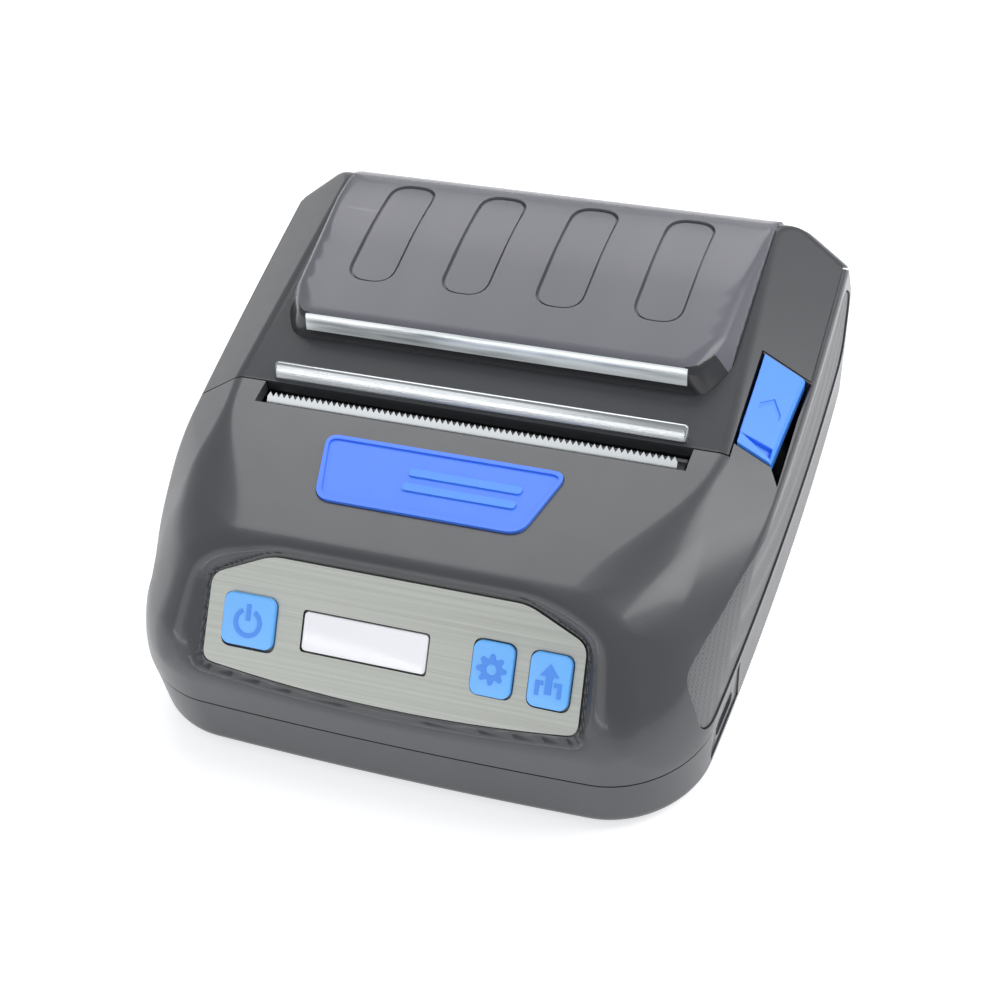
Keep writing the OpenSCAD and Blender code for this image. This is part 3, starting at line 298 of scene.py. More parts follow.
def plateOutline(grow):
    half = plate["width"] / 2 + grow
    low = [(k / 8 * half, -plate["bow"] * (1 - (k / 8) ** 2) - grow) for k in range(-8, 9)]
    side, top = plate["shoulder"] + grow / 2, plate["height"] + grow
    apex = plate["apex"] + grow / 2
    return low + [(half - 0.3, side), (apex, top), (-apex, top), (-half + 0.3, side)]


def rounded(outline, radius, steps=5):
    result = []
    count = len(outline)
    for k in range(count):
        here, before, after = (np.array(outline[i % count], float) for i in (k, k - 1, k + 1))
        toBack, toNext = before - here, after - here
        longBack, longNext = np.linalg.norm(toBack), np.linalg.norm(toNext)
        bend = abs(toBack[0] * toNext[1] - toBack[1] * toNext[0]) / (longBack * longNext)
        if bend < 0.12:
            result.append(tuple(here))
            continue
        reach = min(radius, longBack * 0.45, longNext * 0.45)
        start, end = here + toBack / longBack * reach, here + toNext / longNext * reach
        for s in range(steps + 1):
            t = s / steps
            result.append(tuple(start * (1 - t) ** 2 + here * 2 * t * (1 - t) + end * t * t))
    return result


# Distance to an outline in its plane, negative inside.
def outlineDistance(points, outline):
    best = np.full(len(points), 1e9)
    inside = np.zeros(len(points), bool)
    for k, start in enumerate(outline):
        start, end = np.array(start), np.array(outline[(k + 1) % len(outline)])
        edge, reach = end - start, points - start
        share = np.clip(reach @ edge / (edge @ edge), 0, 1)
        best = np.minimum(best, np.linalg.norm(reach - share[:, None] * edge, axis=1))
        spans = (start[1] > points[:, 1]) != (end[1] > points[:, 1])
        across = start[0] + (points[:, 1] - start[1]) / (edge[1] if edge[1] else 1e-9) * edge[0]
        inside ^= spans & (points[:, 0] < across)
    return np.where(inside, -best, best)


# The upper shell's outside: the body with the pocket of the control plate let into it.
def shellForm(p):
    value = bodyForm(p)
    near = (p[:, 1] < -36) & (p[:, 2] > 14) & (value > -9)
    q = p[near]
    y, z = q[:, 1] - body["panelY"], q[:, 2] - body["panelZ"]
    v, h = y * math.cos(tilt) + z * math.sin(tilt), z * math.cos(tilt) - y * math.sin(tilt)
    outline = rounded(plateOutline(plate["ledge"]), plate["ledgeCorner"])
    out = outlineDistance(np.stack([q[:, 0], v], 1), outline)
    wall = (out - np.maximum(h, 0) * plate["slope"]) * 0.74
    value[near] = blendMax(value[near], -np.maximum(wall, -h - plate["floor"]), plate["rimRadius"])
    return value


window = {
    "frontY": 4.2, "sillZ": 45.5, "sillSlope": 77.6, "topY": 5.4, "topZ": 51.0, "topSlope": 6.8,
    "bendY": 35.0, "bendZ": 54.5, "bendSlope": -5.0, "proudBehind": 0.9, "rearEndZ": 41.0,
    "halfWidth": 44.5, "widest": 45.2, "rise": 2.2, "lean": 34.0, "cornerCut": 5.0,
    "cutTurn": (0.77, -0.64, 0.35), "inset": 2.2, "sunk": 1.2, "gap": 0.12,
}


windowFillet = {"top": 2.0, "back": 3.0, "sill": 0.5, "side": 4.0, "walls": 1.6, "crown": 1.3}
# Boxes that the window's forms are cast in: a centre and two corners.
windowBox = (0, 25, 45), (-46, 3.5, 36), (46, 64, 57)
holeBox = (0, 25, 45), (-46, 3.5, 36), (46, 64, 56)
hollowBox = (0, 25, 44), (-46, 3.5, 30), (46, 64, 57)


# The window stands on the lid, so its foot rises with the lid's top.
def windowForm(p):
    x, y, z = np.abs(p[:, 0]), p[:, 1], p[:, 2]
    sill = leaning(y, z, window["frontY"], window["sillZ"], window["sillSlope"])
    upright = window["frontY"] - y
    top = leaning(y, z, window["topY"], window["topZ"], window["topSlope"])
    bend = leaning(y, z, window["bendY"], window["bendZ"], window["bendSlope"])
    back = leaning(y, z, body["backY"], body["backZ"], body["backSlope"]) - window["proudBehind"]
    lean = math.radians(window["lean"])
    climb = math.tan(math.radians(body["lidRise"])) * (y - body["lidY"])
    height = z - body["deckZ"] - window["rise"] - climb
    side = (x - window["halfWidth"]) * math.cos(lean) + height * math.sin(lean)
    turnX, turnY, turnZ = window["cutTurn"]
    behindFront = y - window["frontY"] - window["cornerCut"]
    cut = (x - window["halfWidth"]) * turnX + behindFront * turnY + height * turnZ
    crown = blendMax(blendMax(top, bend, windowFillet["top"]), back, windowFillet["back"])
    ahead = blendMax(sill, upright, windowFillet["sill"])
    walls = blendMax(ahead, blendMax(side, cut, windowFillet["side"]), windowFillet["walls"])
    ends = np.maximum(window["rearEndZ"] - z, x - window["widest"])
    return np.maximum(blendMax(walls, crown, windowFillet["crown"]), ends)


casting = {"reach": 1.15, "halvings": 34}


# A closed mesh of a form: the faces of a box are pulled along rays from the centre until they meet it.
def castForm(name, form, inset, centre, low, high, step):
    centre, low, high = (np.array(v, float) for v in (centre, low, high))
    size = high - low
    counts = [max(2, int(math.ceil(s / d))) for s, d in zip(size, np.broadcast_to(step, 3))]
    points, faces = [], []
    for axis in range(3):
        u, v = (axis + 1) % 3, (axis + 2) % 3
        for end in (0, 1):
            grid = np.zeros((counts[u] + 1, counts[v] + 1, 3))
            grid[..., axis] = high[axis] if end else low[axis]
            grid[..., u] = low[u] + size[u] * np.linspace(0, 1, counts[u] + 1)[:, None]
            grid[..., v] = low[v] + size[v] * np.linspace(0, 1, counts[v] + 1)[None, :]
            start = sum(len(q) for q in points)
            index = start + np.arange(grid[..., 0].size).reshape(grid.shape[:2])
            quads = np.stack([index[:-1, :-1], index[1:, :-1], index[1:, 1:], index[:-1, 1:]], -1)
            quads = quads.reshape(-1, 4)
            faces.append(quads if end else quads[:, ::-1])
            points.append(grid.reshape(-1, 3))
    points = np.concatenate(points)
    faces = np.concatenate(faces)
    near, far = np.zeros(len(points)), np.full(len(points), casting["reach"])
    for _ in range(casting["halvings"]):
        middle = (near + far) / 2
        outside = form(centre + (points - centre) * middle[:, None]) + inset > 0
        far = np.where(outside, middle, far)
        near = np.where(outside, near, middle)
    points = centre + (points - centre) * near[:, None]
    first, back = np.unique(np.round(points, 4), axis=0, return_index=True, return_inverse=True)[1:]
    return meshed(name, points[first] * mm, back.reshape(-1)[faces])


def meshed(name, points, faces):
    mesh = bpy.data.meshes.new(name)
    mesh.from_pydata([tuple(p) for p in points], [], [tuple(f) for f in faces])
    mesh.validate()
    thing = bpy.data.objects.new(name, mesh)
    bpy.context.scene.collection.objects.link(thing)
    return thing


# A closed prism: its outline lies in the plane across the axis and it runs from low to high.
def prism(outline, axis, low, high):
    count = len(outline)
    points = []
    for at in (low, high):
        for a, b in outline:
            point = [0.0, 0.0, 0.0]
            point[axis], point[(axis + 1) % 3], point[(axis + 2) % 3] = at, a, b
            points.append(point)
    faces = [tuple(range(count))[::-1], tuple(range(count, 2 * count))]
    faces += [(k, (k + 1) % count, count + (k + 1) % count, count + k) for k in range(count)]
    thing = meshed("cutter", np.array(points) * mm, faces)
    tidy(thing)
    return thing


def block(low, high):
    outline = [(low[0], low[1]), (high[0], low[1]), (high[0], high[1]), (low[0], high[1])]
    return prism(outline, 2, low[2], high[2])


def tidy(thing):
    work = bmesh.new()
    work.from_mesh(thing.data)
    bmesh.ops.recalc_face_normals(work, faces=work.faces)
    work.to_mesh(thing.data)
    work.free()


def carve(thing, other, operation="DIFFERENCE", keep=False):
    step = thing.modifiers.new("carve", "BOOLEAN")
    step.operation = operation
    step.solver = "MANIFOLD"
    step.object = other
    graph = bpy.context.evaluated_depsgraph_get()
    shape = bpy.data.meshes.new_from_object(thing.evaluated_get(graph))
    thing.modifiers.clear()
    thing.data = shape
    if not keep:
        bpy.data.objects.remove(other)
    return thing


def onPlane(thing, place):
    thing.data.transform(place)
    return thing


def copied(thing, name):
    twin = thing.copy()
    twin.data = thing.data.copy()
    twin.name = name
    bpy.context.scene.collection.objects.link(twin)
    return twin


# Faces that lie on the form take its own normals, and cut faces stay flat.
def shadeByForm(thing, form, insets):
    mesh = thing.data
    points = np.zeros(len(mesh.vertices) * 3)
    mesh.vertices.foreach_get("co", points)
    points = points.reshape(-1, 3) / mm
    normals = np.zeros((len(points), 3))
    value = form(points)
    on = np.zeros(len(points), bool)
    for inset in insets:
        on |= np.abs(value + inset) < 0.02
    for axis in range(3):
        shift = np.zeros(3)
        shift[axis] = 0.15
        normals[:, axis] = form(points + shift) - form(points - shift)
    normals /= np.maximum(np.linalg.norm(normals, axis=1), 1e-9)[:, None]
    result = []
    for face in mesh.polygons:
        face.use_smooth = True
        flat = np.array(face.normal)
        picked = list(face.vertices)
        smooth = all(on[v] for v in picked) and np.dot(normals[picked].mean(0), flat) > 0.3
        result.extend(normals[v] if smooth else flat for v in picked)
    mesh.normals_split_custom_set([tuple(n) for n in result])
    return thing


def finished(thing, name, look, rides, slot, *stands):
    thing.name = name
    wear(thing, look)
    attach(thing, rides)
    if stands:
        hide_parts(*stands)
    return thing


# Distance between the points that forms are cast with; it is coarse where nothing is seen.
step = 0.8
spacing = {"outer": np.array((0.65, 1.0, 0.65)) * step, "wall": step, "inner": 3.0, "core": 2.0,
           "glass": 0.6, "recess": 1.0, "band": 1.2, "hidden": 1.5}
bodyBox = (0, 6, 20), (-60, -63.5, 1.2), (60, 63.5, 56)
outerCentre = (0, 40, 6)
outer = castForm("outer", shellForm, 0.0, outerCentre, *bodyBox[1:], spacing["outer"])
inner = castForm("inner", bodyForm, body["wall"], *bodyBox, spacing["inner"])
behindPanel = block((-42, -6, -3.5), (42, 26, 12))
print("body form cast", len(outer.data.vertices))


# The lid's zone, seen from the side, and what lies right of it beside the release button.
lidZone = {
    "lip": 6.8, "rearY": 47.0, "rearZ": 44.8, "hingeY": 58.3, "hingeZ": 34.6, "buttonX": 49.4,
    "buttonY": 18.0,
}


def lidRegion(grow):
    z0 = body["deckZ"] - lidZone["lip"]
    hingeZ = lidZone["hingeZ"] - grow
    outline = [(body["lidY"] - grow, 90), (body["lidY"] - grow, z0 - grow),
               (lidZone["rearY"] - grow, lidZone["rearZ"] - grow), (lidZone["hingeY"] - grow, hingeZ),
               (80, hingeZ), (80, 90)]
    region = prism(outline, 0, -90, 90)
    return carve(region, block((lidZone["buttonX"] + grow, -80, -10), (95, lidZone["buttonY"] - grow, 95)))


# Loft between outlines that lie at given heights in the plane of a matrix.
def loft(layers, place):
    count = len(layers[0][1])
    points = [(a, b, h) for h, outline in layers for a, b in outline]
    faces = [tuple(range(count))[::-1], tuple(range(len(points) - count, len(points)))]
    for layer in range(len(layers) - 1):
        for k in range(count):
            a, b = layer * count + k, layer * count + (k + 1) % count
            faces.append((a, b, b + count, a + count))
    thing = meshed("loft", np.array(points) * mm, faces)
    thing.data.transform(place)
    tidy(thing)
    return thing


# Height and growth of the pocket above the control plate.
pocketSteps = ((-0.8, 0.3), (0.0, 0.3), (0.04, 0.95), (1.3, 2.3))
pocket = loft([(h, rounded(plateOutline(grow), 2.2 + grow)) for h, grow in pocketSteps], onPlate)

badge = {
    "width": 48.0, "low": 40.0, "height": 16.0, "x": -1.2, "y": -18.3, "depth": 0.9, "corner": 3.0,
    "gap": 0.15, "rim": 0.9, "barWidth": 22.0, "barShift": 6, "barHalf": 0.9, "barAt": (-6.0, -9.6),
}
badgeZ = body["deckZ"] - (body["lidY"] - badge["y"]) * math.tan(math.radians(body["deckSlope"]))
onBadge = Matrix.Translation((badge["x"] * mm, badge["y"] * mm, badgeZ * mm)) @ Matrix.Rotation(
    math.radians(body["deckSlope"]), 4, "X")


def badgeOutline(grow):
    half, low, height = badge["width"] / 2 + grow, badge["low"] / 2 + grow, badge["height"] + grow
    return rounded([(-half, grow), (-low, -height), (low, -height), (half, grow)], badge["corner"] + grow)


# Side grips: a panel let into each side wall.
grip = {"sink": 0.4, "skin": 0.9, "frontY": -50.0, "rearY": 55.5}


def gripOutline(g):
    y0, z0 = grip["frontY"], body["seamZ"]
    lip = body["deckZ"] - lidZone["lip"]
    corners = [(y0 - g, z0 + 3 - g), (54 + g, z0 + 3 - g), (grip["rearY"] + g, 31), (45 + g, 40.8 + g),
               (body["lidY"], lip - 2.4 + g), (-26, lip - 3 + g), (-40, 30.5 + g), (y0 + 2 - g, 28 + g)]
    return rounded(corners, 5.0, 6)


# Hinge barrels along the lid's rear edge: the lid's own between and beside the shell's two ears.
hinge = {
    "y": 61.3, "z": 34.2, "radius": 2.0, "ear": 32.0, "earWidth": 7.0, "gap": 0.35, "end": 45.0,
    "middleEnd": 6.6, "clear": 3.4, "clearEnd": 60.5,
}


def barrel(low, high, radius):
    circle = [(hinge["y"] + radius * math.cos(k * math.pi / 18),
               hinge["z"] + radius * math.sin(k * math.pi / 18)) for k in range(36)]
    rod = prism(circle, 0, low, high)
    for face in rod.data.polygons:
        face.use_smooth = len(face.vertices) == 4
    return rod


carve(inner, onPlane(behindPanel, onPlate))
upper = copied(outer, "upper")
carve(upper, block((-90, -90, -5), (90, 90, body["seamZ"] + body["seam"])))
carve(upper, inner, keep=True)
carve(upper, lidRegion(body["gap"]))
carve(upper, pocket)
# The paper slot, between the cutter and the lid.
slot = {"halfWidth": 43.0, "frontY": -12.8, "rearY": -6, "floorZ": 34.4}
carve(upper, block((-slot["halfWidth"], slot["frontY"], slot["floorZ"]),
                   (slot["halfWidth"], slot["rearY"], 90)))
badgeSeat = badgeOutline(badge["gap"])
carve(upper, loft([(-badge["depth"], badgeSeat), (5, badgeSeat)], onBadge))
for side in (1, -1):
    panel = prism(gripOutline(0.2), 0, *sorted((44 * side, 90 * side)))
    core = castForm("core", bodyForm, grip["sink"] + grip["skin"], *bodyBox, spacing["core"])
    carve(panel, core)
    carve(upper, panel)
print("upper shell carved")

shoulderTurn = Matrix.Rotation(math.radians(body["shoulderSlope"]), 4, "Y") @ Matrix.Rotation(
    math.radians(body["shoulderRise"]), 4, "X")
onShoulder = Matrix.Translation((body["crease"] * mm, body["lidY"] * mm, body["deckZ"] * mm)) @ shoulderTurn
button = {
    "start": 3.2, "end": 24.3, "gap": 0.35, "innerX": 50.15, "deep": 2.8, "inner": -3, "flatEnd": 7.7,
    "foldEnd": 8.5, "foldDrop": 0.35, "outer": 9.7, "drop": 1.9, "proud": 0.5, "edge": 0.22,
    "seatInner": -9, "seatOuter": 10.0, "seatDeep": 5.2, "notchDeep": 0.45, "chevronDeep": 0.25,
}
seat = block((button["seatInner"], button["start"] - button["gap"], -button["seatDeep"]),
             (button["seatOuter"], button["end"] + button["gap"], 9))
carve(upper, onPlane(seat, onShoulder))
# The slot for a finger, beside the button.
finger = {"innerX": 54.5, "mouthX": 56.2, "wallX": 58.3, "frontY": -3.9, "mouthY": -7.3, "rearY": 17.3,
          "floorZ": 30.3, "topZ": 45}
fingerSlot = [(finger["mouthX"], finger["frontY"]), (finger["wallX"], finger["mouthY"]),
              (finger["wallX"], finger["rearY"]), (finger["innerX"], finger["rearY"]),
              (finger["innerX"], finger["frontY"])]
carve(upper, prism(fingerSlot, 2, finger["floorZ"], finger["topZ"]))
# The opening for the charging port's bezel runs through both shells.
port = {"frontY": -46, "rearY": -30, "upperX": 49, "lowerX": 50, "floorZ": 4.4, "overSeam": 1.2}
carve(upper, block((port["upperX"], port["frontY"], 0),
                   (70, port["rearY"], body["seamZ"] + port["overSeam"])))
carve(upper, barrel(-hinge["clearEnd"], hinge["clearEnd"], hinge["clear"]))
shadeByForm(upper, shellForm, [0.0])
finished(upper, "upper_shell_skin", "shell", "body", "shell_black", "upper_shell")
print("upper shell done")

lidPart = carve(copied(outer, "lid"), lidRegion(0), "INTERSECT")
carve(lidPart, inner, keep=True)
hole = castForm("hole", windowForm, -window["gap"], *holeBox, spacing["hidden"])
carve(lidPart, hole)
shadeByForm(lidPart, bodyForm, [0.0])
finished(lidPart, "lid_skin", "lid", "lid", "lid_black", "lid_shell")
print("lid done")

door = {"halfWidth": 38.2, "frontY": -58.2, "rearY": -17.8, "topZ": 3.7}
lower = castForm("lower", bodyForm, body["baseInset"], *bodyBox, spacing["wall"])
carve(lower, block((-90, -90, body["seamZ"]), (90, 90, 90)))
carve(lower, inner)
carve(lower, block((port["lowerX"], port["frontY"], port["floorZ"]), (70, port["rearY"], 20)))
carve(lower, block((-door["halfWidth"], door["frontY"], -3), (door["halfWidth"], door["rearY"], door["topZ"])))
shadeByForm(lower, bodyForm, [body["baseInset"]])
finished(lower, "base_skin", "base", "body", "shell_black", "base_shell")
print("base done")

earEnd = hinge["ear"] + hinge["earWidth"]
reach = hinge["ear"] - hinge["middleEnd"]
roll = barrel(-reach, reach, hinge["radius"])
finished(roll, "hinge_barrel_middle", "lid", "lid", "lid_black")
for side, name in ((1, "right"), (-1, "left")):
    ear = barrel(*sorted((side * hinge["ear"], side * earEnd)), hinge["radius"])
    finished(ear, "hinge_ear_" + name, "shell", "body", "shell_black")
    roll = barrel(*sorted((side * (earEnd + hinge["gap"]), side * hinge["end"])), hinge["radius"])
    finished(roll, "hinge_barrel_" + name, "lid", "lid", "lid_black")
print("hinge done")

for side, name in ((1, "grip_right"), (-1, "grip_left")):
    panel = prism(gripOutline(0.0), 0, *sorted((44 * side, 90 * side)))
    skin = castForm("skin", bodyForm, grip["sink"], *bodyBox, spacing["wall"])
    carve(skin, panel, "INTERSECT")
    core = castForm("core", bodyForm, grip["sink"] + grip["skin"] - 0.05, *bodyBox, spacing["core"])
    carve(skin, core)
    shadeByForm(skin, bodyForm, [grip["sink"]])
    finished(skin, name + "_skin", "grip", "body", "grip_grey", name)
bpy.data.objects.remove(outer)
print("grips done")

glass = castForm("glass", windowForm, 0.0, *windowBox, spacing["glass"])
recess = {
    "x": (-29.4, -9.7, 9.7, 29.4), "width": 10.0, "front": 15.6, "rear": 44.6, "corner": 4.4,
    "depth": 0.35, "groove": 0.75, "grooveWidth": 0.6,
}


def recessOutline(x, shrink):
    half = recess["width"] / 2 - shrink
    y0, y1 = recess["front"] + shrink, recess["rear"] - shrink
    return rounded([(x - half, y0), (x + half, y0), (x + half, y1), (x - half, y1)],
                   recess["corner"] - shrink, 8)


for depth in (recess["depth"], recess["groove"]):
    core = castForm("core", windowForm, depth, *windowBox, spacing["recess"])
    for x in recess["x"]:
        well = prism(recessOutline(x, 0.0), 2, 44, 60)
        if depth == recess["groove"]:
            carve(well, prism(recessOutline(x, recess["grooveWidth"]), 2, 43, 61))
        carve(well, core, keep=True)
        carve(glass, well)
    bpy.data.objects.remove(core)
carve(glass, castForm("hollow", windowForm, window["inset"], *hollowBox, spacing["hidden"]))
carve(glass, castForm("under", bodyForm, window["sunk"], *bodyBox, spacing["hidden"]))
shadeByForm(glass, windowForm, [0.0, recess["depth"], recess["groove"]])
finished(glass, "window_glass", "smoke", "lid", "window_smoke", "lid_window")

# The window's front bevel in painted light: the bright upper band is a painted reflection, and the dark one
# under it and round the corners is a painted dark reflection.
strip = {
    "halfWidth": 38.6, "low": 47.4, "high": 50.9, "foot": 44.4, "out": 0.06, "deep": 0.25,
    "frontEnd": 5.7, "cornerEnd": 10.5, "topAt": ((-38, 4.5, 50.2), (38, 40, 60)),
}
sheet = castForm("sheet", windowForm, -strip["out"], *windowBox, spacing["glass"])
carve(sheet, castForm("core", windowForm, strip["deep"], *windowBox, spacing["band"]))
front = block((-strip["halfWidth"], 0, strip["low"]), (strip["halfWidth"], strip["frontEnd"], strip["high"]))
band = carve(copied(sheet, "band"), front, "INTERSECT", True)
shadeByForm(band, windowForm, [-strip["out"]])
finished(band, "window_bevel", "bevel", "lid", "window_smoke")
# The dark sheet is kept under the bright band and round the corners, as painted dark reflection.
darkReflectionZone = block((-60, 0, strip["foot"]), (60, strip["cornerEnd"], strip["high"]))
carve(darkReflectionZone, block(*strip["topAt"]))
carve(darkReflectionZone, front)
carve(sheet, darkReflectionZone, "INTERSECT")
shadeByForm(sheet, windowForm, [-strip["out"]])
finished(sheet, "window_bevel_dark", "darkReflection", "lid", "window_smoke")
print("window done")


soft = {"merge": 2e-6, "level": 1.5, "sharp": 30, "segments": 3, "keepSharp": 35}


# A CAD node's own shape with its edges rounded.
def softened(node, name, look, rides, slot, width):
    source = nodes[node]
    twin = bpy.data.objects.new(name, source.data.copy())
    bpy.context.scene.collection.objects.link(twin)
    work = bmesh.new()
    work.from_mesh(twin.data)
    bmesh.ops.remove_doubles(work, verts=work.verts, dist=soft["merge"])
    bmesh.ops.dissolve_limit(work, angle_limit=math.radians(soft["level"]), verts=work.verts, edges=work.edges)
    least = math.radians(soft["sharp"])
    sharp = [e for e in work.edges if len(e.link_faces) == 2 and e.calc_face_angle(0) > least]
    bmesh.ops.bevel(work, geom=sharp, offset=width * mm, segments=soft["segments"], profile=0.5,
                    affect="EDGES", clamp_overlap=True)
    for face in work.faces:
        face.smooth = True
    work.to_mesh(twin.data)
    work.free()
    if twin.data.has_custom_normals:
        twin.data.normals_split_custom_set([(0, 0, 0)] * len(twin.data.loops))
    twin.data.set_sharp_from_angle(angle=math.radians(soft["keepSharp"]))
    return finished(twin, name, look, rides, slot, node)


for node, look, rides, slotName, width in (
        ("display_lens", "white", "body", "display_white", 0.3),
        ("power_key", "key", "power_key", "key_blue", 0.4),
        ("settings_key", "key", "settings_key", "key_blue", 0.4),
        ("feed_key", "key", "feed_key", "key_blue", 0.4),
        ("tear_bar", "chrome", "lid", "bar_chrome", 0.7),
        ("usb_bezel", "shell", "body", "shell_black", 0.2)):
    softened(node, node + "_soft", look, rides, slotName, width)
print("small parts softened")

feet = {
    "x": (-38.0, -31.0), "front": (-58.0, -52.5), "rear": (49.0, 55.5), "corner": 2.2, "height": 2.4,
    "chamfer": 0.3, "tuck": (0.99, 0.995),
}
for side in (-1, 1):
    for end in ("front", "rear"):
        (x0, x1), (y0, y1) = sorted((side * x for x in feet["x"])), feet[end]
        pad = rounded([(x0, y0), (x1, y0), (x1, y1), (x0, y1)], feet["corner"])
        sole = [(x * feet["tuck"][0], y * feet["tuck"][1]) for x, y in pad]
        foot = loft([(0, sole), (feet["chamfer"], pad), (feet["height"], pad)], Matrix.Identity(4))
        name = "foot_%s_%s" % (end, "left" if side < 0 else "right")
        finished(foot, name, "rubber", "body", "rubber_black", "rubber_feet")

# The control plate, its corners rounded, with an opening for each key and the display.
face = {"thick": 0.9, "corner": 2.2, "edge": 0.14, "keyCorner": 1.9, "gap": 0.3}
powerAt, settingsAt, feedAt, displayAt = (-27.5, 8.4), (19.6, 8.75), (30.2, 8.6), (-4.9, 8.8)
openings = ((*powerAt, 10.2, 9.6, face["keyCorner"]), (*settingsAt, 7.5, 9.7, face["keyCorner"]),
            (*feedAt, 7.5, 9.7, face["keyCorner"]), (*displayAt, 24.0, 7.2, 0.8))
plateFace = loft([(-face["thick"], rounded(plateOutline(0), face["corner"])),
                  (0, rounded(plateOutline(0), face["corner"]))], onPlate)
for x, y, wide, tall, corner in openings:
    a, b = wide / 2 + face["gap"], tall / 2 + face["gap"]
    hole = rounded([(x - a, y - b), (x + a, y - b), (x + a, y + b), (x - a, y + b)], corner)
    carve(plateFace, loft([(-4, hole), (4, hole)], onPlate))
edges = plateFace.modifiers.new("edges", "BEVEL")
edges.width, edges.segments, edges.limit_method = face["edge"] * mm, 2, "ANGLE"
finished(plateFace, "control_plate_face", "plate", "body", "plate_silver", "control_plate")

# The release button: a flat top with a fold towards the slot, a thumb notch and a chevron.
top = button["proud"]
fold = [(-button["deep"], button["inner"]), (top, button["inner"]), (top, button["flatEnd"]),
        (top - button["foldDrop"], button["foldEnd"]), (-button["drop"], button["outer"]),
        (-button["deep"], button["outer"])]
cap = prism(fold, 1, button["start"], button["end"])
onPlane(cap, onShoulder)
carve(cap, block((30, -40, 0), (button["innerX"], 40, 80)))
notch = [(0.9, 5.6), (8.0, 3.9), (7.6, 6.2)]
carve(cap, loft([(-button["notchDeep"], notch), (2, notch)], onShoulder))
chevron = [(2.0, 12.6), (4.3, 15.2), (6.6, 12.6), (6.6, 13.8), (4.3, 16.4), (2.0, 13.8)]
carve(cap, loft([(top - button["chevronDeep"], chevron), (2, chevron)], onShoulder))
edges = cap.modifiers.new("edges", "BEVEL")
edges.width, edges.segments, edges.limit_method = button["edge"] * mm, 2, "ANGLE"
finished(cap, "open_button_cap", "release", "open_button", "key_blue", "open_button")
print("button made")


# A closed ring between two outlines with as many corners.
def ringMesh(outline, inner, low, high):
    count = len(outline)
    rounds = (outline, low), (outline, high), (inner, high), (inner, low)
    points = [(a, b, h) for ring, h in rounds for a, b in ring]
    faces = []
    for band in range(4):
        for k in range(count):
            a, b = band * count + k, band * count + (k + 1) % count
            c, d = ((band + 1) % 4) * count + (k + 1) % count, ((band + 1) % 4) * count + k
            faces.append((a, b, c, d))
    thing = meshed("ring", np.array(points) * mm, faces)
    tidy(thing)
    return thing


def flatPrism(outline, low, high):
    return loft([(low, outline), (high, outline)], Matrix.Identity(4))


badgeBody = loft([(-0.85, badgeOutline(0.0)), (-0.1, badgeOutline(0.0)), (0.15, badgeOutline(-0.3))], onBadge)
finished(badgeBody, "badge_face", "badge", "body", "badge_blue", "badge")
rim = ringMesh(badgeOutline(0.0), badgeOutline(-badge["rim"]), 0.1, 0.5)
finished(onPlane(rim, onBadge), "badge_rim", "badge", "body", "badge_blue")
for row, at in enumerate(badge["barAt"]):
    x0, x1 = -badge["barWidth"] / 2 + badge["barShift"], badge["barWidth"] / 2 + badge["barShift"]
    y0, y1 = at - badge["barHalf"], at + badge["barHalf"]
    stripe = flatPrism(rounded([(x0, y0), (x1, y0), (x1, y1), (x0, y1)], badge["barHalf"]), 0.1, 0.45)
    finished(onPlane(stripe, onBadge), "badge_bar_%d" % row, "mark", "body", "badge_blue")
print("badge done")


# Marks on the keys: strokes that stand a little over the key's face.
def arcStroke(radius, width, start, end, steps=40):
    angles = [math.radians(start + (end - start) * k / steps) for k in range(steps + 1)]
    outerArc = [((radius + width / 2) * math.cos(a), (radius + width / 2) * math.sin(a)) for a in angles]
    innerArc = [((radius - width / 2) * math.cos(a), (radius - width / 2) * math.sin(a)) for a in angles]
    return outerArc + innerArc[::-1]


marks = {"face": 0.9, "height": 0.14, "sunk": 0.05, "stroke": 0.8}
markSpan = marks["face"] - marks["sunk"], marks["face"] + marks["height"]


def mark(name, outlines, at, rides):
    for k, outline in enumerate(outlines):
        stroke = flatPrism([(a + at[0], b + at[1]) for a, b in outline], *markSpan)
        finished(onPlane(stroke, onPlate), "%s_%d" % (name, k), "mark", rides, "key_blue")


def bar(x0, y0, x1, y1):
    return [(x0, y0), (x1, y0), (x1, y1), (x0, y1)]


w = marks["stroke"] / 2
mark("power_mark", [arcStroke(2.4, 2 * w, -240, 60), bar(-w, 0.4, w, 3.4)], powerAt, "power_key")
cog = {"points": 64, "teeth": 8, "radius": 2.35, "tooth": 0.42, "hole": 1.0}
gear, bore = [], []
for k in range(cog["points"]):
    a = 2 * math.pi * k / cog["points"]
    r = cog["radius"] + cog["tooth"] * math.tanh(3 * math.cos(cog["teeth"] * a))
    gear.append((r * math.cos(a), r * math.sin(a)))
    bore.append((cog["hole"] * math.cos(a), cog["hole"] * math.sin(a)))
ring = ringMesh(gear, bore, *markSpan)
ring.data.transform(Matrix.Translation((settingsAt[0] * mm, settingsAt[1] * mm, 0)))
finished(onPlane(ring, onPlate), "settings_mark", "mark", "settings_key", "key_blue")
arrow = [[(-1.7, 1.0), (1.7, 1.0), (0, 3.2)], bar(-0.6, -2.2, 0.6, 1.0)]
sheetMark = [bar(-2.4, -0.7, -1.0, 0.0), bar(1.0, -0.7, 2.4, 0.0), bar(-2.4, -2.6, -1.7, -0.7),
             bar(1.7, -2.6, 2.4, -0.7)]
mark("feed_mark", arrow + sheetMark, feedAt, "feed_key")
print("marks done")


# Floor, light and camera.
def stagePlane(name, points, look):
    sheet = meshed(name, points, [tuple(range(len(points)))])
    sheet.data.materials.append(look.material)
    return sheet


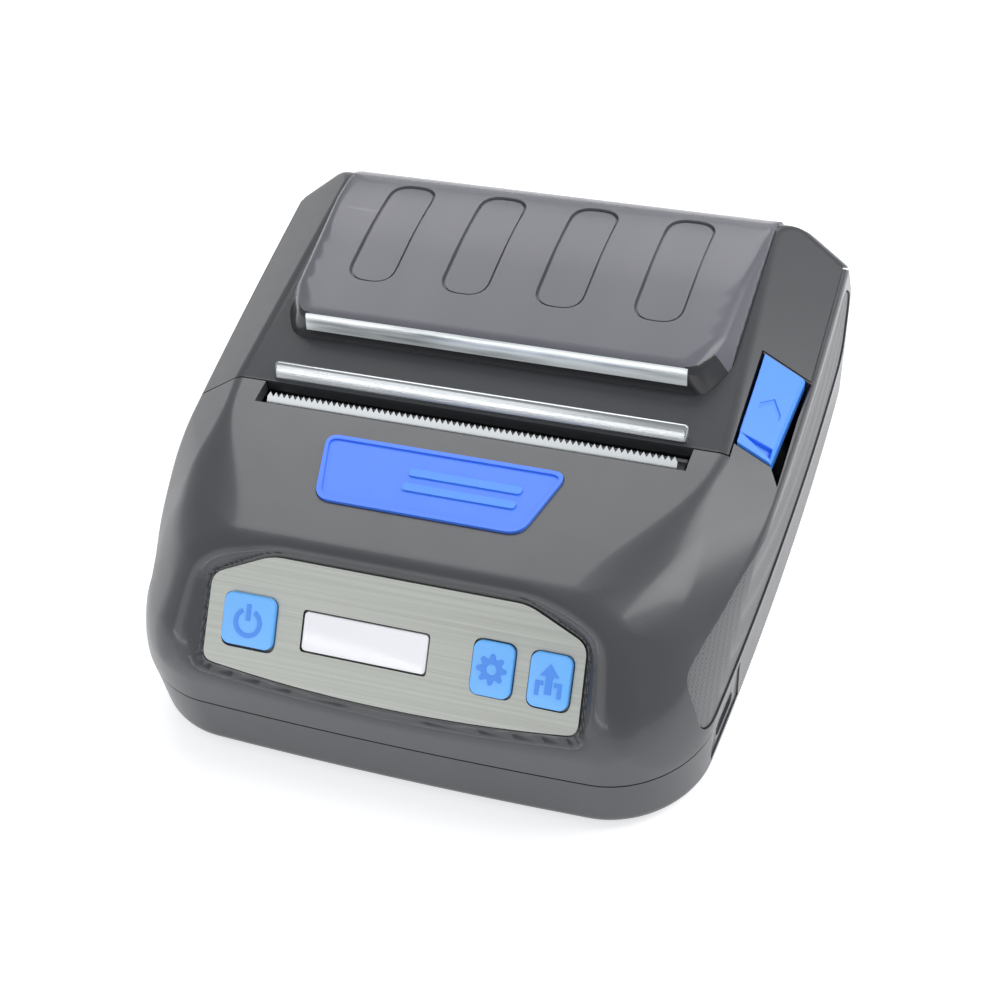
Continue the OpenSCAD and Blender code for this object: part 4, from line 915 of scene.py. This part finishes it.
floorLook = Surface("floor", (0.8, 0.8, 0.8), 0.7, Emission_Strength=0.55)
floorLook.tone(floorLook.noise(3), (0.79, 0.79, 0.8), (0.81, 0.81, 0.82))
floorLook.set("Emission Color", (1, 1, 1, 1))
stagePlane("floor", [(-3, -3, 0), (3, -3, 0), (3, 3, 0), (-3, 3, 0)], floorLook)

studio = {"color": (0.9, 0.92, 0.95, 1), "strength": 0.55}
world = bpy.data.worlds.new("studio")
world.use_nodes = True
sky = world.node_tree.nodes["Background"].inputs
sky[0].default_value, sky[1].default_value = studio["color"], studio["strength"]
bpy.context.scene.world = world


def lamp(name, at, target, size, power):
    data = bpy.data.lights.new(name, "AREA")
    data.shape = "RECTANGLE"
    data.size, data.size_y = size
    data.energy = power
    thing = bpy.data.objects.new(name, data)
    bpy.context.scene.collection.objects.link(thing)
    thing.location = at
    thing.rotation_euler = (Vector(target) - Vector(at)).to_track_quat("-Z", "Y").to_euler()
    return thing


lamp("key_light", (-0.25, 0.75, 0.75), (0, 0, 0.03), (0.9, 0.5), 4.5)
lamp("side_light", (0.75, 0.3, 0.75), (0, 0, 0.02), (0.5, 0.7), 6)
lamp("front_light", (-0.5, -0.9, 0.6), (0, 0, 0.02), (0.8, 0.5), 1.5)
lamp("rim_light", (-0.3, -0.9, 0.24), (0, 0, 0.03), (1.2, 0.05), 1.5)

view = {
    "right": (0.93679, 0.33106, -0.11321), "up": (-0.16215, 0.69751, 0.69799),
    "back": (0.31004, -0.63551, 0.70711), "at": (0.123889, -0.2554, 0.296975),
    "lens": 72, "sensor": 36,
}
camera = bpy.data.cameras.new("camera")
camera.lens, camera.sensor_width = view["lens"], view["sensor"]
cameraThing = bpy.data.objects.new("camera", camera)
bpy.context.scene.collection.objects.link(cameraThing)
axes = Matrix((view["right"], view["up"], view["back"])).transposed().to_4x4()
cameraThing.matrix_world = Matrix.Translation(view["at"]) @ axes
bpy.context.scene.camera = cameraThing
bpy.context.scene.view_settings.view_transform = "Standard"
print("stage set")
